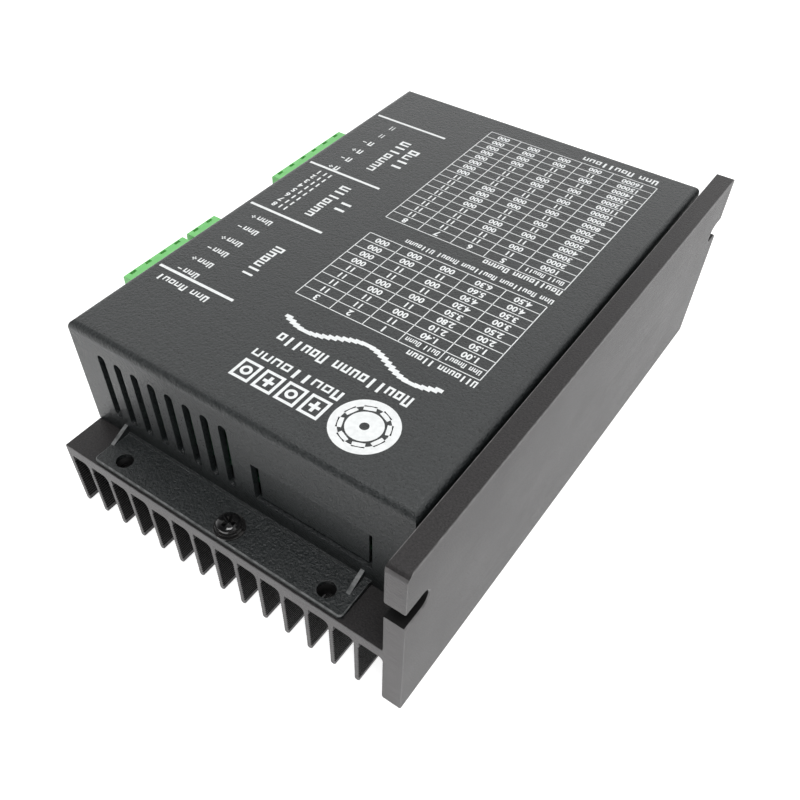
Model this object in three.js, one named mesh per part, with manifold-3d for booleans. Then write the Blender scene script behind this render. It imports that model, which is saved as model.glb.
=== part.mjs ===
// Stepper driver module: an extruded heat sink with a side mounting flange, a moulded cover held by
// two screws, and the boards, pluggable terminal blocks and slide switches that the cover encloses.
//
// Millimetres, +Z up. Inside the assembly X runs across the fins from the connector side (X = 0 is the
// heat sink's edge) to the flange, Y runs along the extrusion from the end with the knock-out panel, and
// Z starts at the fin tips. The last lines move the whole assembly so that the origin is the centre of
// the bottom of its bounding box.

import * as THREE from "three";
import { mergeVertices } from "three/addons/utils/BufferGeometryUtils.js";
import Module from "manifold-3d";

const wasm = await Module();
wasm.setup();

// ---------------------------------------------------------------- driving dimensions

const GAP = 0.05; // clearance between parts that rest on each other
const JOIN = 0.5; // how far two solids that become one piece run into each other
const SMALL_ROUND = 12; // sides of a small round hole or rod
const OVERCUT = 1; // how far a cutting tool runs past the face it opens

const HEATSINK = {
  length: 151,
  width: 97,
  plateTop: 20.4,
  plateThickness: 3.2,
  finCount: 14,
  finPitch: 6.53,
  finThickness: 1.3,
  finFillet: 1.3,
  thickLandGaps: [4, 10],
  thickLandExtra: 0.9,
  flangeHeight: 50.5,
  flangeThickness: 4.9,
  frontCornerRadius: 1.8,
  slotWidth: 5,
  frontSlotDepth: 7.8,
  backSlotDepth: 6,
  slotHeight: 36.2,
};
const FLANGE_INNER = HEATSINK.width - HEATSINK.flangeThickness;
const PLATE_BOTTOM = HEATSINK.plateTop - HEATSINK.plateThickness;

const COVER = {
  right: 91.2,
  front: 11,
  back: 142.5,
  top: 50.8,
  wall: 1.5,
  edgeRadius: 2.2,
  footThickness: 1.2,
  footLeft: 9.8,
  footRight: 81.5,
  footFrontEdge: 0.5,
  footBackEdge: 150.5,
  holeRadius: 2.1,
  gussetThickness: 1,
  rightGussetInset: 1.7,
  gussetLength: 5.2,
  gussetHeight: 2.8,
  ventCount: 8,
  ventFirst: 8.75,
  ventPitch: 5.06,
  ventWidth: 2.25,
  ventBottom: 26,
  ventTop: 44.9,
  panelLeft: 50.8,
  panelRight: 81.7,
  panelBottom: 26.3,
  panelTop: 37.7,
  panelRecess: 0.8,
  panelSideSlit: 1.3,
  panelBottomSlit: 0.5,
};
const COVER_BOTTOM = HEATSINK.plateTop + GAP;
const FOOT_TOP = COVER_BOTTOM + COVER.footThickness;
const FOOT_HOLES_X = [16.3, 48.7, 75.2];
const FOOT_HOLE_INSET = 3.6; // from each end of the foot to its holes
const FRONT_HOLES_Y = COVER.footFrontEdge + FOOT_HOLE_INSET;
const BACK_HOLES_Y = COVER.footBackEdge - FOOT_HOLE_INSET;
const TAPPED_RADIUS = 1.6;

const COVER_SCREW = {
  washerRadius: 3.6,
  washer: 0.7,
  headRadius: 2.75,
  head: 2.1,
  shank: 1.4,
  length: 5,
  recessHalfWidth: 0.45,
  recessReach: 2,
  recessDepth: 1.3,
};

const BOARD = { left: 1.7, right: 88.6, front: 13.2, back: 140.4, thickness: 1.6, top: 31 };
const BOARD_BOTTOM = BOARD.top - BOARD.thickness;
const PART_BASE = BOARD.top + GAP; // underside of whatever stands on the main board
const STANDOFF = { acrossFlats: 5.5, studRadius: 1.4, holeRadius: 1.6, studLength: 3.4, inset: 5 };
const CONTROL_BOARD = { left: 38, right: 84, front: 20, back: 76, bottom: 41.5, thickness: 1.2 };
const CONTROL_HEADER = { width: 5, length: 40.6 };

// Pluggable terminal blocks. A plug's block stands outside the cover, its tongue sits in the header.
const POLE_PITCH = 5.08;
const PLUG = {
  front: -11.7,
  shoulder: 1.4,
  tongueEnd: 7.5,
  bottom: 30.9,
  top: 42,
  tongueBottom: 32.6,
  tongueTop: 38.6,
  tongueInset: 0.6,
  socket: 1.5,
  socketEnd: -2,
  socketHeight: 35.5,
  entryWidth: 3.4,
  entryBottom: 36.8,
  entryTop: 40.6,
  chamberFront: -10.7,
  chamberBack: -5.9,
  chamberWidth: 3.8,
  chamberBottom: 34,
  chamberTop: 41,
  windowX: -10.7,
  windowWidth: 0.8,
  windowLength: 1.8,
  windowBottom: 40.8,
};
const HEADER = {
  front: 1.7,
  back: 13.4,
  cavityBack: 9.4,
  top: 40.3,
  overhang: 0.7,
  cavityOverhang: -0.3,
  cavityBottom: 32.3,
  cavityTop: 38.9,
  pin: 1,
  pinFront: 0.6,
};
const TERMINALS = [
  { name: "signal_4", poles: 4, centre: 46.15 },
  { name: "signal_2", poles: 2, centre: 63.1 },
  { name: "power_6", poles: 6, centre: 107.35 },
];
const TERMINAL_SCREW = {
  x: -8.7,
  headRadius: 1.65,
  headFace: 31.6,
  headBase: 32.95,
  shank: 1.2,
  tip: 37.75,
};
const SCREW_WELL = { radius: 1.9, end: 33, throat: 1.5 };
const SCREW_DRIVE = { width: 0.6, depth: 0.7 };
const CAGE = {
  front: -10.5,
  back: -6.1,
  width: 3.4,
  bottom: 36.5,
  top: 40.9,
  side: 0.4,
  floor: 1,
  roof: 0.8,
  holeRadius: 1.35,
};

const SWITCH = {
  front: 1.7,
  back: 10.7,
  first: 69.35,
  last: 90.95,
  top: 40.9,
  count: 8,
  pitch: 2.54,
  slotWidth: 1.6,
  slotDepth: 1.8,
  slotBottom: 33.9,
  slotTop: 38.1,
};
const SLIDER = { front: 1, width: 1.2, height: 1.6, lift: 0.2, backGap: 0.2 };

// Openings in the cover's connector side: [first Y, last Y, bottom, top]
const SIDE_WINDOWS = [
  [35.6, 68.6, 30.5, 42.4],
  [69.7, 90.6, 32.2, 40],
  [91.8, 122.9, 30.5, 42.4],
];
const LED = {
  radius: 1.5,
  front: 1.7,
  flange: 4.2,
  back: 9,
  height: 36,
  rim: 0.5,
  positions: [26, 31.2],
  holeRadius: 1.6,
};

const CAPACITOR = { radius: 8.6, length: 32, first: 33, y: [92, 112], height: 39.7, bevel: 1 };
const RECTIFIER = { left: 24, right: 46, front: 125, back: 129.6, top: 47.5, notch: 3 };
const TRANSISTOR = {
  left: 62,
  right: 82,
  width: 15.6,
  thickness: 4.8,
  first: 31,
  pitch: 21,
  count: 4,
  leadWidth: 1.4,
  leadPitch: 5.45,
  leadReach: 5,
  leadThickness: 0.8,
  leadLift: 2,
};
const CLAMP_BAR = { left: 68, right: 76, overhang: 4, thickness: 2 };

// ---------------------------------------------------------------- materials

function material(color, roughness, metalness) {
  return new THREE.MeshStandardMaterial({ color, roughness, metalness });
}

const anodised = () => material(0x2c2a2b, 0.55, 0.9);
const coverPlastic = () => material(0x2b2e2f, 0.6, 0);
const blackSteel = () => material(0x141414, 0.3, 0.9);
const boardGreen = () => material(0x1f5a38, 0.5, 0);
const plugGreen = () => material(0x54c258, 0.45, 0);
const plated = () => material(0xb9b6ae, 0.35, 1);
const brass = () => material(0xb59a52, 0.35, 1);
const switchRed = () => material(0xa82020, 0.4, 0);
const ivory = () => material(0xe8e6dc, 0.5, 0);
const packageBlack = () => material(0x1a1a1b, 0.6, 0);
const capacitorSleeve = () => material(0x1d2a4a, 0.35, 0);

// ---------------------------------------------------------------- geometry helpers

/** A closed three.js geometry as a manifold solid. */
function solid(geometry) {
  const bare = geometry.clone();
  bare.deleteAttribute("normal");
  bare.deleteAttribute("uv");
  const merged = mergeVertices(bare, 1e-4);
  const mesh = new wasm.Mesh({
    numProp: 3,
    vertProperties: new Float32Array(merged.attributes.position.array),
    triVerts: new Uint32Array(merged.index.array),
  });
  return new wasm.Manifold(mesh);
}

/** A manifold solid as a three.js geometry. */
function geometryOf(body) {
  const mesh = body.getMesh();
  const geometry = new THREE.BufferGeometry();
  geometry.setAttribute("position", new THREE.BufferAttribute(new Float32Array(mesh.vertProperties), 3));
  geometry.setIndex(new THREE.BufferAttribute(new Uint32Array(mesh.triVerts), 1));
  geometry.computeVertexNormals();
  return geometry;
}

function box([x0, x1], [y0, y1], [z0, z1]) {
  const geometry = new THREE.BoxGeometry(x1 - x0, y1 - y0, z1 - z0);
  geometry.translate((x0 + x1) / 2, (y0 + y1) / 2, (z0 + z1) / 2);
  return solid(geometry);
}

function verticalRod(radius, x, y, [z0, z1], sides = 16) {
  const geometry = new THREE.CylinderGeometry(radius, radius, z1 - z0, sides);
  geometry.rotateX(Math.PI / 2);
  geometry.translate(x, y, (z0 + z1) / 2);
  return solid(geometry);
}

function rodAlongX(radius, [x0, x1], y, z, sides = 16) {
  const geometry = new THREE.CylinderGeometry(radius, radius, x1 - x0, sides);
  geometry.rotateZ(Math.PI / 2);
  geometry.translate((x0 + x1) / 2, y, z);
  return solid(geometry);
}

/** Extrudes a shape; basis says which way the shape's first axis, second axis and the extrusion point. */
function extrude(shape, depth, basis, origin, curveSegments = 6) {
  const geometry = new THREE.ExtrudeGeometry(shape, { depth, bevelEnabled: false, curveSegments });
  geometry.applyMatrix4(new THREE.Matrix4().makeBasis(...basis));
  geometry.translate(...origin);
  return solid(geometry);
}

const X_AXIS = new THREE.Vector3(1, 0, 0);
const Y_AXIS = new THREE.Vector3(0, 1, 0);
const Z_AXIS = new THREE.Vector3(0, 0, 1);
const MINUS_Y_AXIS = new THREE.Vector3(0, -1, 0);

/** An outline drawn in X and Z, extruded from y0 to y1. */
function alongY(shape, [y0, y1], curveSegments) {
  return extrude(shape, y1 - y0, [X_AXIS, Z_AXIS, MINUS_Y_AXIS], [0, y1, 0], curveSegments);
}

/** An outline drawn in Y and Z, extruded from x0 to x1. */
function alongX(shape, [x0, x1], curveSegments) {
  return extrude(shape, x1 - x0, [Y_AXIS, Z_AXIS, X_AXIS], [x0, 0, 0], curveSegments);
}

function outline(points) {
  return new THREE.Shape(points.map(([a, b]) => new THREE.Vector2(a, b)));
}

/** An upright slot with round ends, as an outline. */
function roundedSlot(centre, width, bottom, top) {
  const radius = width / 2;
  const shape = new THREE.Shape();
  shape.absarc(centre, top - radius, radius, 0, Math.PI);
  shape.absarc(centre, bottom + radius, radius, Math.PI, 2 * Math.PI);
  return shape;
}

/** A box outline whose two upper corners are rounded. */
function roundedTop([low, high], bottom, top, radius) {
  const shape = new THREE.Shape();
  shape.moveTo(low, bottom);
  shape.lineTo(high, bottom);
  shape.absarc(high - radius, top - radius, radius, 0, Math.PI / 2);
  shape.absarc(low + radius, top - radius, radius, Math.PI / 2, Math.PI);
  return shape;
}

const assembly = new THREE.Group();

function place(name, body, look) {
  const mesh = new THREE.Mesh(geometryOf(body), look);
  mesh.name = name;
  assembly.add(mesh);
}

// ---------------------------------------------------------------- heat sink

/** The extrusion's section: plate with flange, and fins below whose roots are filleted on one side. */
function heatsinkSection() {
  const { finCount, finPitch, finThickness, finFillet, thickLandGaps, thickLandExtra } = HEATSINK;
  const section = new THREE.Shape();
  section.moveTo(0, 0);
  for (let gap = 0; gap < finCount; gap += 1) {
    const left = gap * finPitch + finThickness;
    const right = gap === finCount - 1 ? FLANGE_INNER : (gap + 1) * finPitch;
    const roof = PLATE_BOTTOM - (thickLandGaps.includes(gap) ? thickLandExtra : 0);
    section.lineTo(left, 0);
    section.lineTo(left, roof);
    section.lineTo(right - finFillet, roof);
    section.lineTo(right, roof - finFillet);
    section.lineTo(right, 0);
  }
  section.lineTo(HEATSINK.width, 0);
  section.lineTo(HEATSINK.width, HEATSINK.flangeHeight);
  section.lineTo(FLANGE_INNER, HEATSINK.flangeHeight);
  section.lineTo(FLANGE_INNER, HEATSINK.plateTop);
  section.lineTo(0, HEATSINK.plateTop);
  section.closePath();
  return section;
}

/** An open-ended mounting slot through the flange; direction is +1 at the front end and -1 at the back. */
function flangeSlot(endY, depth, direction) {
  const radius = HEATSINK.slotWidth / 2;
  const seat = endY + direction * (depth - radius);
  const mouth = endY - direction * OVERCUT;
  const [start, turn] = direction > 0 ? [-Math.PI / 2, Math.PI / 2] : [Math.PI / 2, (3 * Math.PI) / 2];
  const shape = new THREE.Shape();
  shape.moveTo(mouth, HEATSINK.slotHeight - direction * radius);
  shape.lineTo(seat, HEATSINK.slotHeight - direction * radius);
  shape.absarc(seat, HEATSINK.slotHeight, radius, start, turn);
  shape.lineTo(mouth, HEATSINK.slotHeight + direction * radius);
  shape.closePath();
  return alongX(shape, [FLANGE_INNER - OVERCUT, HEATSINK.width + OVERCUT]);
}

/** What rounding takes off the flange's upper corner at the front; the one at the back is square. */
function flangeFrontCorner() {
  const radius = HEATSINK.frontCornerRadius;
  const top = HEATSINK.flangeHeight;
  const shape = new THREE.Shape();
  shape.moveTo(radius, top);
  shape.absarc(radius, top - radius, radius, Math.PI / 2, Math.PI);
  shape.lineTo(-OVERCUT, top - radius);
  shape.lineTo(-OVERCUT, top + OVERCUT);
  shape.lineTo(radius, top + OVERCUT);
  shape.closePath();
  return alongX(shape, [FLANGE_INNER - OVERCUT, HEATSINK.width + OVERCUT]);
}

function standoffCentres() {
  const xs = [BOARD.left + 2 * STANDOFF.inset + 2, BOARD.right - STANDOFF.inset];
  const ys = [BOARD.front + STANDOFF.inset, BOARD.back - STANDOFF.inset];
  return xs.flatMap((x) => ys.map((y) => [x, y]));
}

function heatsink() {
  let body = alongY(heatsinkSection(), [0, HEATSINK.length]);
  body = body.subtract(flangeSlot(0, HEATSINK.frontSlotDepth, 1));
  body = body.subtract(flangeSlot(HEATSINK.length, HEATSINK.backSlotDepth, -1));
  body = body.subtract(flangeFrontCorner());
  const throughPlate = [PLATE_BOTTOM - 2 * OVERCUT, HEATSINK.plateTop + OVERCUT];
  for (const x of FOOT_HOLES_X) {
    for (const y of [FRONT_HOLES_Y, BACK_HOLES_Y]) {
      body = body.subtract(verticalRod(TAPPED_RADIUS, x, y, throughPlate));
    }
  }
  return body;
}

// ---------------------------------------------------------------- cover

/** A box with its upper edges rounded and mitred at the corners. */
function roundedBox(xs, ys, bottom, top, radius) {
  const across = alongY(roundedTop(xs, bottom, top, radius), ys);
  const along = alongX(roundedTop(ys, bottom, top, radius), xs);
  return across.intersect(along);
}

function coverShell() {
  const { right, front, back, top, wall, edgeRadius } = COVER;
  const outer = roundedBox([0, right], [front, back], COVER_BOTTOM, top, edgeRadius);
  const hollow = roundedBox(
    [wall, right - wall],
    [front + wall, back - wall],
    COVER_BOTTOM - OVERCUT,
    top - wall,
    edgeRadius - wall,
  );
  return outer.subtract(hollow);
}

/** A triangular web between the foot and the wall it stands on. */
function gusset(x, wallY, direction) {
  const base = FOOT_TOP - COVER.footThickness / 2;
  const inside = wallY + direction * (COVER.wall / 2);
  const tip = wallY - direction * COVER.gussetLength;
  const points = [[inside, base], [tip, base], [tip, FOOT_TOP], [inside, FOOT_TOP + COVER.gussetHeight]];
  return alongX(outline(direction > 0 ? points.reverse() : points), [x, x + COVER.gussetThickness]);
}

/** A foot at one end; wallY is the outer face of the wall and direction points into the cover. */
function foot(wallY, edgeY, direction) {
  const inner = wallY + direction * (COVER.wall / 2);
  const ys = [Math.min(inner, edgeY), Math.max(inner, edgeY)];
  const plate = box([COVER.footLeft, COVER.footRight], ys, [COVER_BOTTOM, FOOT_TOP]);
  const left = gusset(COVER.footLeft, wallY, direction);
  const rightX = COVER.footRight - COVER.rightGussetInset - COVER.gussetThickness;
  const right = gusset(rightX, wallY, direction);
  return plate.add(left).add(right);
}

function ventCuts(wallYs) {
  return Array.from({ length: COVER.ventCount }, (_, index) => {
    const centre = COVER.ventFirst + index * COVER.ventPitch;
    return alongY(roundedSlot(centre, COVER.ventWidth, COVER.ventBottom, COVER.ventTop), wallYs, 4);
  });
}

/** A pocket that thins the wall to a panel, and three slits that leave it hanging by its upper edge. */
function panelCuts(wallYs) {
  const { panelLeft, panelRight, panelBottom, panelTop, panelSideSlit, panelBottomSlit } = COVER;
  const pocketYs = [COVER.front - OVERCUT, COVER.front + COVER.panelRecess];
  return [
    box([panelLeft, panelRight], pocketYs, [panelBottom, panelTop]),
    box([panelLeft, panelLeft + panelSideSlit], wallYs, [panelBottom, panelTop]),
    box([panelRight - panelSideSlit, panelRight], wallYs, [panelBottom, panelTop]),
    box([panelLeft, panelRight], wallYs, [panelBottom, panelBottom + panelBottomSlit]),
  ];
}

function cover() {
  let body = coverShell();
  body = body.add(foot(COVER.front, COVER.footFrontEdge, 1));
  body = body.add(foot(COVER.back, COVER.footBackEdge, -1));
  const frontWall = [COVER.front - OVERCUT, COVER.front + COVER.wall + OVERCUT];
  const backWall = [COVER.back - COVER.wall - OVERCUT, COVER.back + OVERCUT];
  const cuts = [...ventCuts(frontWall), ...ventCuts(backWall), ...panelCuts(frontWall)];
  const sideWall = [-OVERCUT, COVER.wall + OVERCUT];
  for (const [y0, y1, z0, z1] of SIDE_WINDOWS) {
    cuts.push(box(sideWall, [y0, y1], [z0, z1]));
  }
  for (const y of LED.positions) {
    cuts.push(rodAlongX(LED.holeRadius, sideWall, y, LED.height));
  }
  for (const x of FOOT_HOLES_X) {
    for (const y of [FRONT_HOLES_Y, BACK_HOLES_Y]) {
      cuts.push(verticalRod(COVER.holeRadius, x, y, [COVER_BOTTOM - OVERCUT, FOOT_TOP + OVERCUT]));
    }
  }
  for (const cut of cuts) {
    body = body.subtract(cut);
  }
  return body;
}

/** A pan-head screw with a captive washer and a cross recess. */
function coverScrew(x, y) {
  const seat = FOOT_TOP + GAP;
  const { washerRadius, washer, headRadius, head, shank, length } = COVER_SCREW;
  const top = seat + washer + head;
  const points = [
    [0, seat - length],
    [shank, seat - length],
    [shank, seat],
    [washerRadius, seat],
    [washerRadius, seat + washer],
    [headRadius, seat + washer],
    [headRadius, top - head / 2],
    [headRadius * 0.8, top - head / 5],
    [0, top],
  ];
  const profile = new THREE.LatheGeometry(points.map(([r, z]) => new THREE.Vector2(r, z)), 24);
  profile.rotateX(Math.PI / 2);
  profile.translate(x, y, 0);
  const bar = COVER_SCREW.recessHalfWidth;
  const reach = COVER_SCREW.recessReach;
  const recess = [top - COVER_SCREW.recessDepth, top + OVERCUT];
  return solid(profile)
    .subtract(box([x - reach, x + reach], [y - bar, y + bar], recess))
    .subtract(box([x - bar, x + bar], [y - reach, y + reach], recess));
}

// ---------------------------------------------------------------- boards and what they carry

function mainBoard() {
  let body = box([BOARD.left, BOARD.right], [BOARD.front, BOARD.back], [BOARD_BOTTOM, BOARD.top]);
  for (const [x, y] of standoffCentres()) {
    const zs = [BOARD_BOTTOM - OVERCUT, BOARD.top + OVERCUT];
    body = body.subtract(verticalRod(STANDOFF.holeRadius, x, y, zs, SMALL_ROUND));
  }
  return body;
}

/** A hexagonal spacer on the plate whose stud passes up through the main board. */
function standoff(x, y) {
  const hexRadius = STANDOFF.acrossFlats / Math.sqrt(3);
  const base = HEATSINK.plateTop + GAP;
  const top = BOARD_BOTTOM - GAP;
  const body = verticalRod(hexRadius, x, y, [base, top], 6);
  const studZs = [top - JOIN, top + STANDOFF.studLength];
  return body.add(verticalRod(STANDOFF.studRadius, x, y, studZs, SMALL_ROUND));
}

function controlBoard() {
  const { left, right, front, back, bottom, thickness } = CONTROL_BOARD;
  return box([left, right], [front, back], [bottom, bottom + thickness]);
}

function controlHeader() {
  const x = (CONTROL_BOARD.left + CONTROL_BOARD.right) / 2;
  const y = (CONTROL_BOARD.front + CONTROL_BOARD.back) / 2;
  const { width, length } = CONTROL_HEADER;
  return box(
    [x - width / 2, x + width / 2],
    [y - length / 2, y + length / 2],
    [PART_BASE, CONTROL_BOARD.bottom - GAP],
  );
}

/** A can lying on the board, rounded at both ends and grooved near its seal. */
function capacitor(y) {
  const { radius, length, first, height, bevel } = CAPACITOR;
  const points = [
    [0, 0],
    [radius - bevel, 0],
    [radius, bevel],
    [radius, 2.5 * bevel],
    [radius - bevel / 2, 3 * bevel],
    [radius, 3.5 * bevel],
    [radius, length - bevel],
    [radius - bevel, length],
    [0, length],
  ];
  const can = new THREE.LatheGeometry(points.map(([r, z]) => new THREE.Vector2(r, z)), 24);
  can.rotateZ(-Math.PI / 2);
  can.translate(first, y, height);
  return solid(can);
}

/** A single-in-line bridge package with one upper corner cut off to mark its positive lead. */
function rectifier() {
  const { left, right, front, back, top, notch } = RECTIFIER;
  const section = outline([
    [left, PART_BASE],
    [right, PART_BASE],
    [right, top],
    [left + notch, top],
    [left, top - notch],
  ]);
  return alongY(section, [front, back]);
}

/** A power package flat on the plate, with three leads that bend up to the board. */
function transistor(index) {
  const centre = TRANSISTOR.first + index * TRANSISTOR.pitch;
  const base = HEATSINK.plateTop + GAP;
  const halfWidth = TRANSISTOR.width / 2;
  let body = box(
    [TRANSISTOR.left, TRANSISTOR.right],
    [centre - halfWidth, centre + halfWidth],
    [base, base + TRANSISTOR.thickness],
  );
  const tip = TRANSISTOR.left - TRANSISTOR.leadReach;
  const lift = base + TRANSISTOR.leadLift;
  for (const step of [-1, 0, 1]) {
    const y = centre + step * TRANSISTOR.leadPitch;
    const ys = [y - TRANSISTOR.leadWidth / 2, y + TRANSISTOR.leadWidth / 2];
    body = body.add(box([tip, TRANSISTOR.left + JOIN], ys, [lift, lift + TRANSISTOR.leadThickness]));
    body = body.add(box([tip, tip + TRANSISTOR.leadThickness], ys, [lift, BOARD_BOTTOM - GAP]));
  }
  return body;
}

function clampBar() {
  const { left, right, overhang, thickness } = CLAMP_BAR;
  const base = HEATSINK.plateTop + 2 * GAP + TRANSISTOR.thickness;
  const reach = TRANSISTOR.width / 2 + overhang;
  const lastCentre = TRANSISTOR.first + (TRANSISTOR.count - 1) * TRANSISTOR.pitch;
  return box([left, right], [TRANSISTOR.first - reach, lastCentre + reach], [base, base + thickness]);
}

/** A right-angle indicator: holder on the board and round lens towards the cover's hole. */
function statusLed(y) {
  const lens = rodAlongX(LED.radius, [LED.front, LED.flange + JOIN], y, LED.height);
  const side = LED.radius + LED.rim;
  return lens.add(box([LED.flange, LED.back], [y - side, y + side], [PART_BASE, LED.height + side]));
}

// ---------------------------------------------------------------- pluggable terminals

function poleCentres({ poles, centre }) {
  return Array.from({ length: poles }, (_, index) => centre + (index - (poles - 1) / 2) * POLE_PITCH);
}

function around(centre, width) {
  return [centre - width / 2, centre + width / 2];
}

/** The plug's moulding. Each pole has a wire entry, a clamp chamber, a slot, a screw well and a socket. */
function plug(terminal) {
  const width = terminal.poles * POLE_PITCH;
  const tongueWidth = width - 2 * PLUG.tongueInset;
  const zs = [PLUG.bottom, PLUG.top];
  let body = box([PLUG.front, PLUG.shoulder], around(terminal.centre, width), zs);
  const tongueXs = [PLUG.shoulder - OVERCUT, PLUG.tongueEnd];
  body = body.add(box(tongueXs, around(terminal.centre, tongueWidth), [PLUG.tongueBottom, PLUG.tongueTop]));
  for (const y of poleCentres(terminal)) {
    const entryXs = [PLUG.front - OVERCUT, PLUG.chamberFront + OVERCUT];
    const chamberXs = [PLUG.chamberFront, PLUG.chamberBack];
    const socketXs = [PLUG.socketEnd, PLUG.tongueEnd + OVERCUT];
    const wellZs = [PLUG.bottom - OVERCUT, SCREW_WELL.end];
    const throatZs = [SCREW_WELL.end - OVERCUT, PLUG.chamberBottom + OVERCUT];
    const windowXs = around(PLUG.windowX, PLUG.windowWidth);
    const windowZs = [PLUG.windowBottom, PLUG.top + OVERCUT];
    const cuts = [
      box(entryXs, around(y, PLUG.entryWidth), [PLUG.entryBottom, PLUG.entryTop]),
      box(chamberXs, around(y, PLUG.chamberWidth), [PLUG.chamberBottom, PLUG.chamberTop]),
      box(socketXs, around(y, PLUG.socket), around(PLUG.socketHeight, PLUG.socket)),
      verticalRod(SCREW_WELL.radius, TERMINAL_SCREW.x, y, wellZs),
      verticalRod(SCREW_WELL.throat, TERMINAL_SCREW.x, y, throatZs, SMALL_ROUND),
      box(windowXs, around(y, PLUG.windowLength), windowZs),
    ];
    for (const cut of cuts) {
      body = body.subtract(cut);
    }
  }
  return body;
}

/** The header soldered to the board: a housing open towards the plug, with one pin for each pole. */
function header(terminal) {
  const width = terminal.poles * POLE_PITCH;
  const outerYs = around(terminal.centre, width + 2 * HEADER.overhang);
  const cavityYs = around(terminal.centre, width + 2 * HEADER.cavityOverhang);
  let body = box([HEADER.front, HEADER.back], outerYs, [PART_BASE, HEADER.top]);
  const cavityXs = [HEADER.front - OVERCUT, HEADER.cavityBack];
  body = body.subtract(box(cavityXs, cavityYs, [HEADER.cavityBottom, HEADER.cavityTop]));
  for (const y of poleCentres(terminal)) {
    const pinXs = [HEADER.pinFront, HEADER.cavityBack + OVERCUT];
    body = body.add(box(pinXs, around(y, HEADER.pin), around(PLUG.socketHeight, HEADER.pin)));
  }
  return body;
}

/** A slotted screw whose head faces down, out of the plug's underside. */
function terminalScrew(y) {
  const { x, headRadius, headFace, headBase, shank, tip } = TERMINAL_SCREW;
  const head = verticalRod(headRadius, x, y, [headFace, headBase]);
  const body = head.add(verticalRod(shank, x, y, [headBase - JOIN, tip], SMALL_ROUND));
  const slotYs = around(y, SCREW_DRIVE.width);
  const slotXs = [x - headRadius - OVERCUT, x + headRadius + OVERCUT];
  return body.subtract(box(slotXs, slotYs, [headFace - OVERCUT, headFace + SCREW_DRIVE.depth]));
}

/** The clamp: a square sleeve that a wire passes through, with the screw threaded in its floor. */
function clampCage(y) {
  const { front, back, width, bottom, top, side, floor, roof, holeRadius } = CAGE;
  const sleeve = box([front, back], around(y, width), [bottom, top]);
  const boreXs = [front - OVERCUT, back + OVERCUT];
  const bore = box(boreXs, around(y, width - 2 * side), [bottom + floor, top - roof]);
  const threadZs = [bottom - OVERCUT, bottom + floor + OVERCUT];
  const thread = verticalRod(holeRadius, TERMINAL_SCREW.x, y, threadZs, SMALL_ROUND);
  return sleeve.subtract(bore).subtract(thread);
}

// ---------------------------------------------------------------- slide switches

function switchCentres() {
  const first = (SWITCH.first + SWITCH.last) / 2 - ((SWITCH.count - 1) / 2) * SWITCH.pitch;
  return Array.from({ length: SWITCH.count }, (_, index) => first + index * SWITCH.pitch);
}

function switchBody() {
  let body = box([SWITCH.front, SWITCH.back], [SWITCH.first, SWITCH.last], [PART_BASE, SWITCH.top]);
  for (const y of switchCentres()) {
    const slotXs = [SWITCH.front - OVERCUT, SWITCH.front + SWITCH.slotDepth];
    body = body.subtract(box(slotXs, around(y, SWITCH.slotWidth), [SWITCH.slotBottom, SWITCH.slotTop]));
  }
  return body;
}

/** One slider in its off position, at the bottom of its slot. */
function slider(y) {
  const xs = [SLIDER.front, SWITCH.front + SWITCH.slotDepth - SLIDER.backGap];
  const bottom = SWITCH.slotBottom + SLIDER.lift;
  return box(xs, around(y, SLIDER.width), [bottom, bottom + SLIDER.height]);
}

// ---------------------------------------------------------------- assembly

place("heatsink", heatsink(), anodised());
place("cover", cover(), coverPlastic());
place("cover_screw_front", coverScrew(FOOT_HOLES_X[1], FRONT_HOLES_Y), blackSteel());
place("cover_screw_back", coverScrew(FOOT_HOLES_X[1], BACK_HOLES_Y), blackSteel());

place("main_board", mainBoard(), boardGreen());
standoffCentres().forEach(([x, y], index) => place(`board_standoff_${index + 1}`, standoff(x, y), brass()));
place("control_board", controlBoard(), boardGreen());
place("control_board_header", controlHeader(), packageBlack());
CAPACITOR.y.forEach((y, index) => place(`bulk_capacitor_${index + 1}`, capacitor(y), capacitorSleeve()));
place("bridge_rectifier", rectifier(), packageBlack());
for (let index = 0; index < TRANSISTOR.count; index += 1) {
  place(`power_transistor_${index + 1}`, transistor(index), packageBlack());
}
place("transistor_clamp_bar", clampBar(), plated());
LED.positions.forEach((y, index) => place(["fault_led", "power_led"][index], statusLed(y), ivory()));

for (const terminal of TERMINALS) {
  place(`${terminal.name}_header`, header(terminal), plugGreen());
  place(`${terminal.name}_plug`, plug(terminal), plugGreen());
  poleCentres(terminal).forEach((y, index) => {
    place(`${terminal.name}_screw_${index + 1}`, terminalScrew(y), plated());
    place(`${terminal.name}_clamp_${index + 1}`, clampCage(y), brass());
  });
}

place("dip_switch_body", switchBody(), switchRed());
switchCentres().forEach((y, index) => place(`dip_slider_${index + 1}`, slider(y), ivory()));

const overallCentreX = (PLUG.front + HEATSINK.width) / 2;
assembly.position.set(-overallCentreX, -HEATSINK.length / 2, 0);

const part = new THREE.Group();
part.add(assembly);

export default part;
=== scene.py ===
"""Looks of the stepper driver module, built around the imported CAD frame.

Shapes are drawn in millimetres from the heat sink's lowest corner: X runs from the connector side to
the mounting flange, Y from the end with the knock-out panel, and Z up from the fin tips. finish_piece()
turns a piece into metres in the frame.
"""

import math

import bmesh
import bpy
from mathutils import Matrix, Vector


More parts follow.
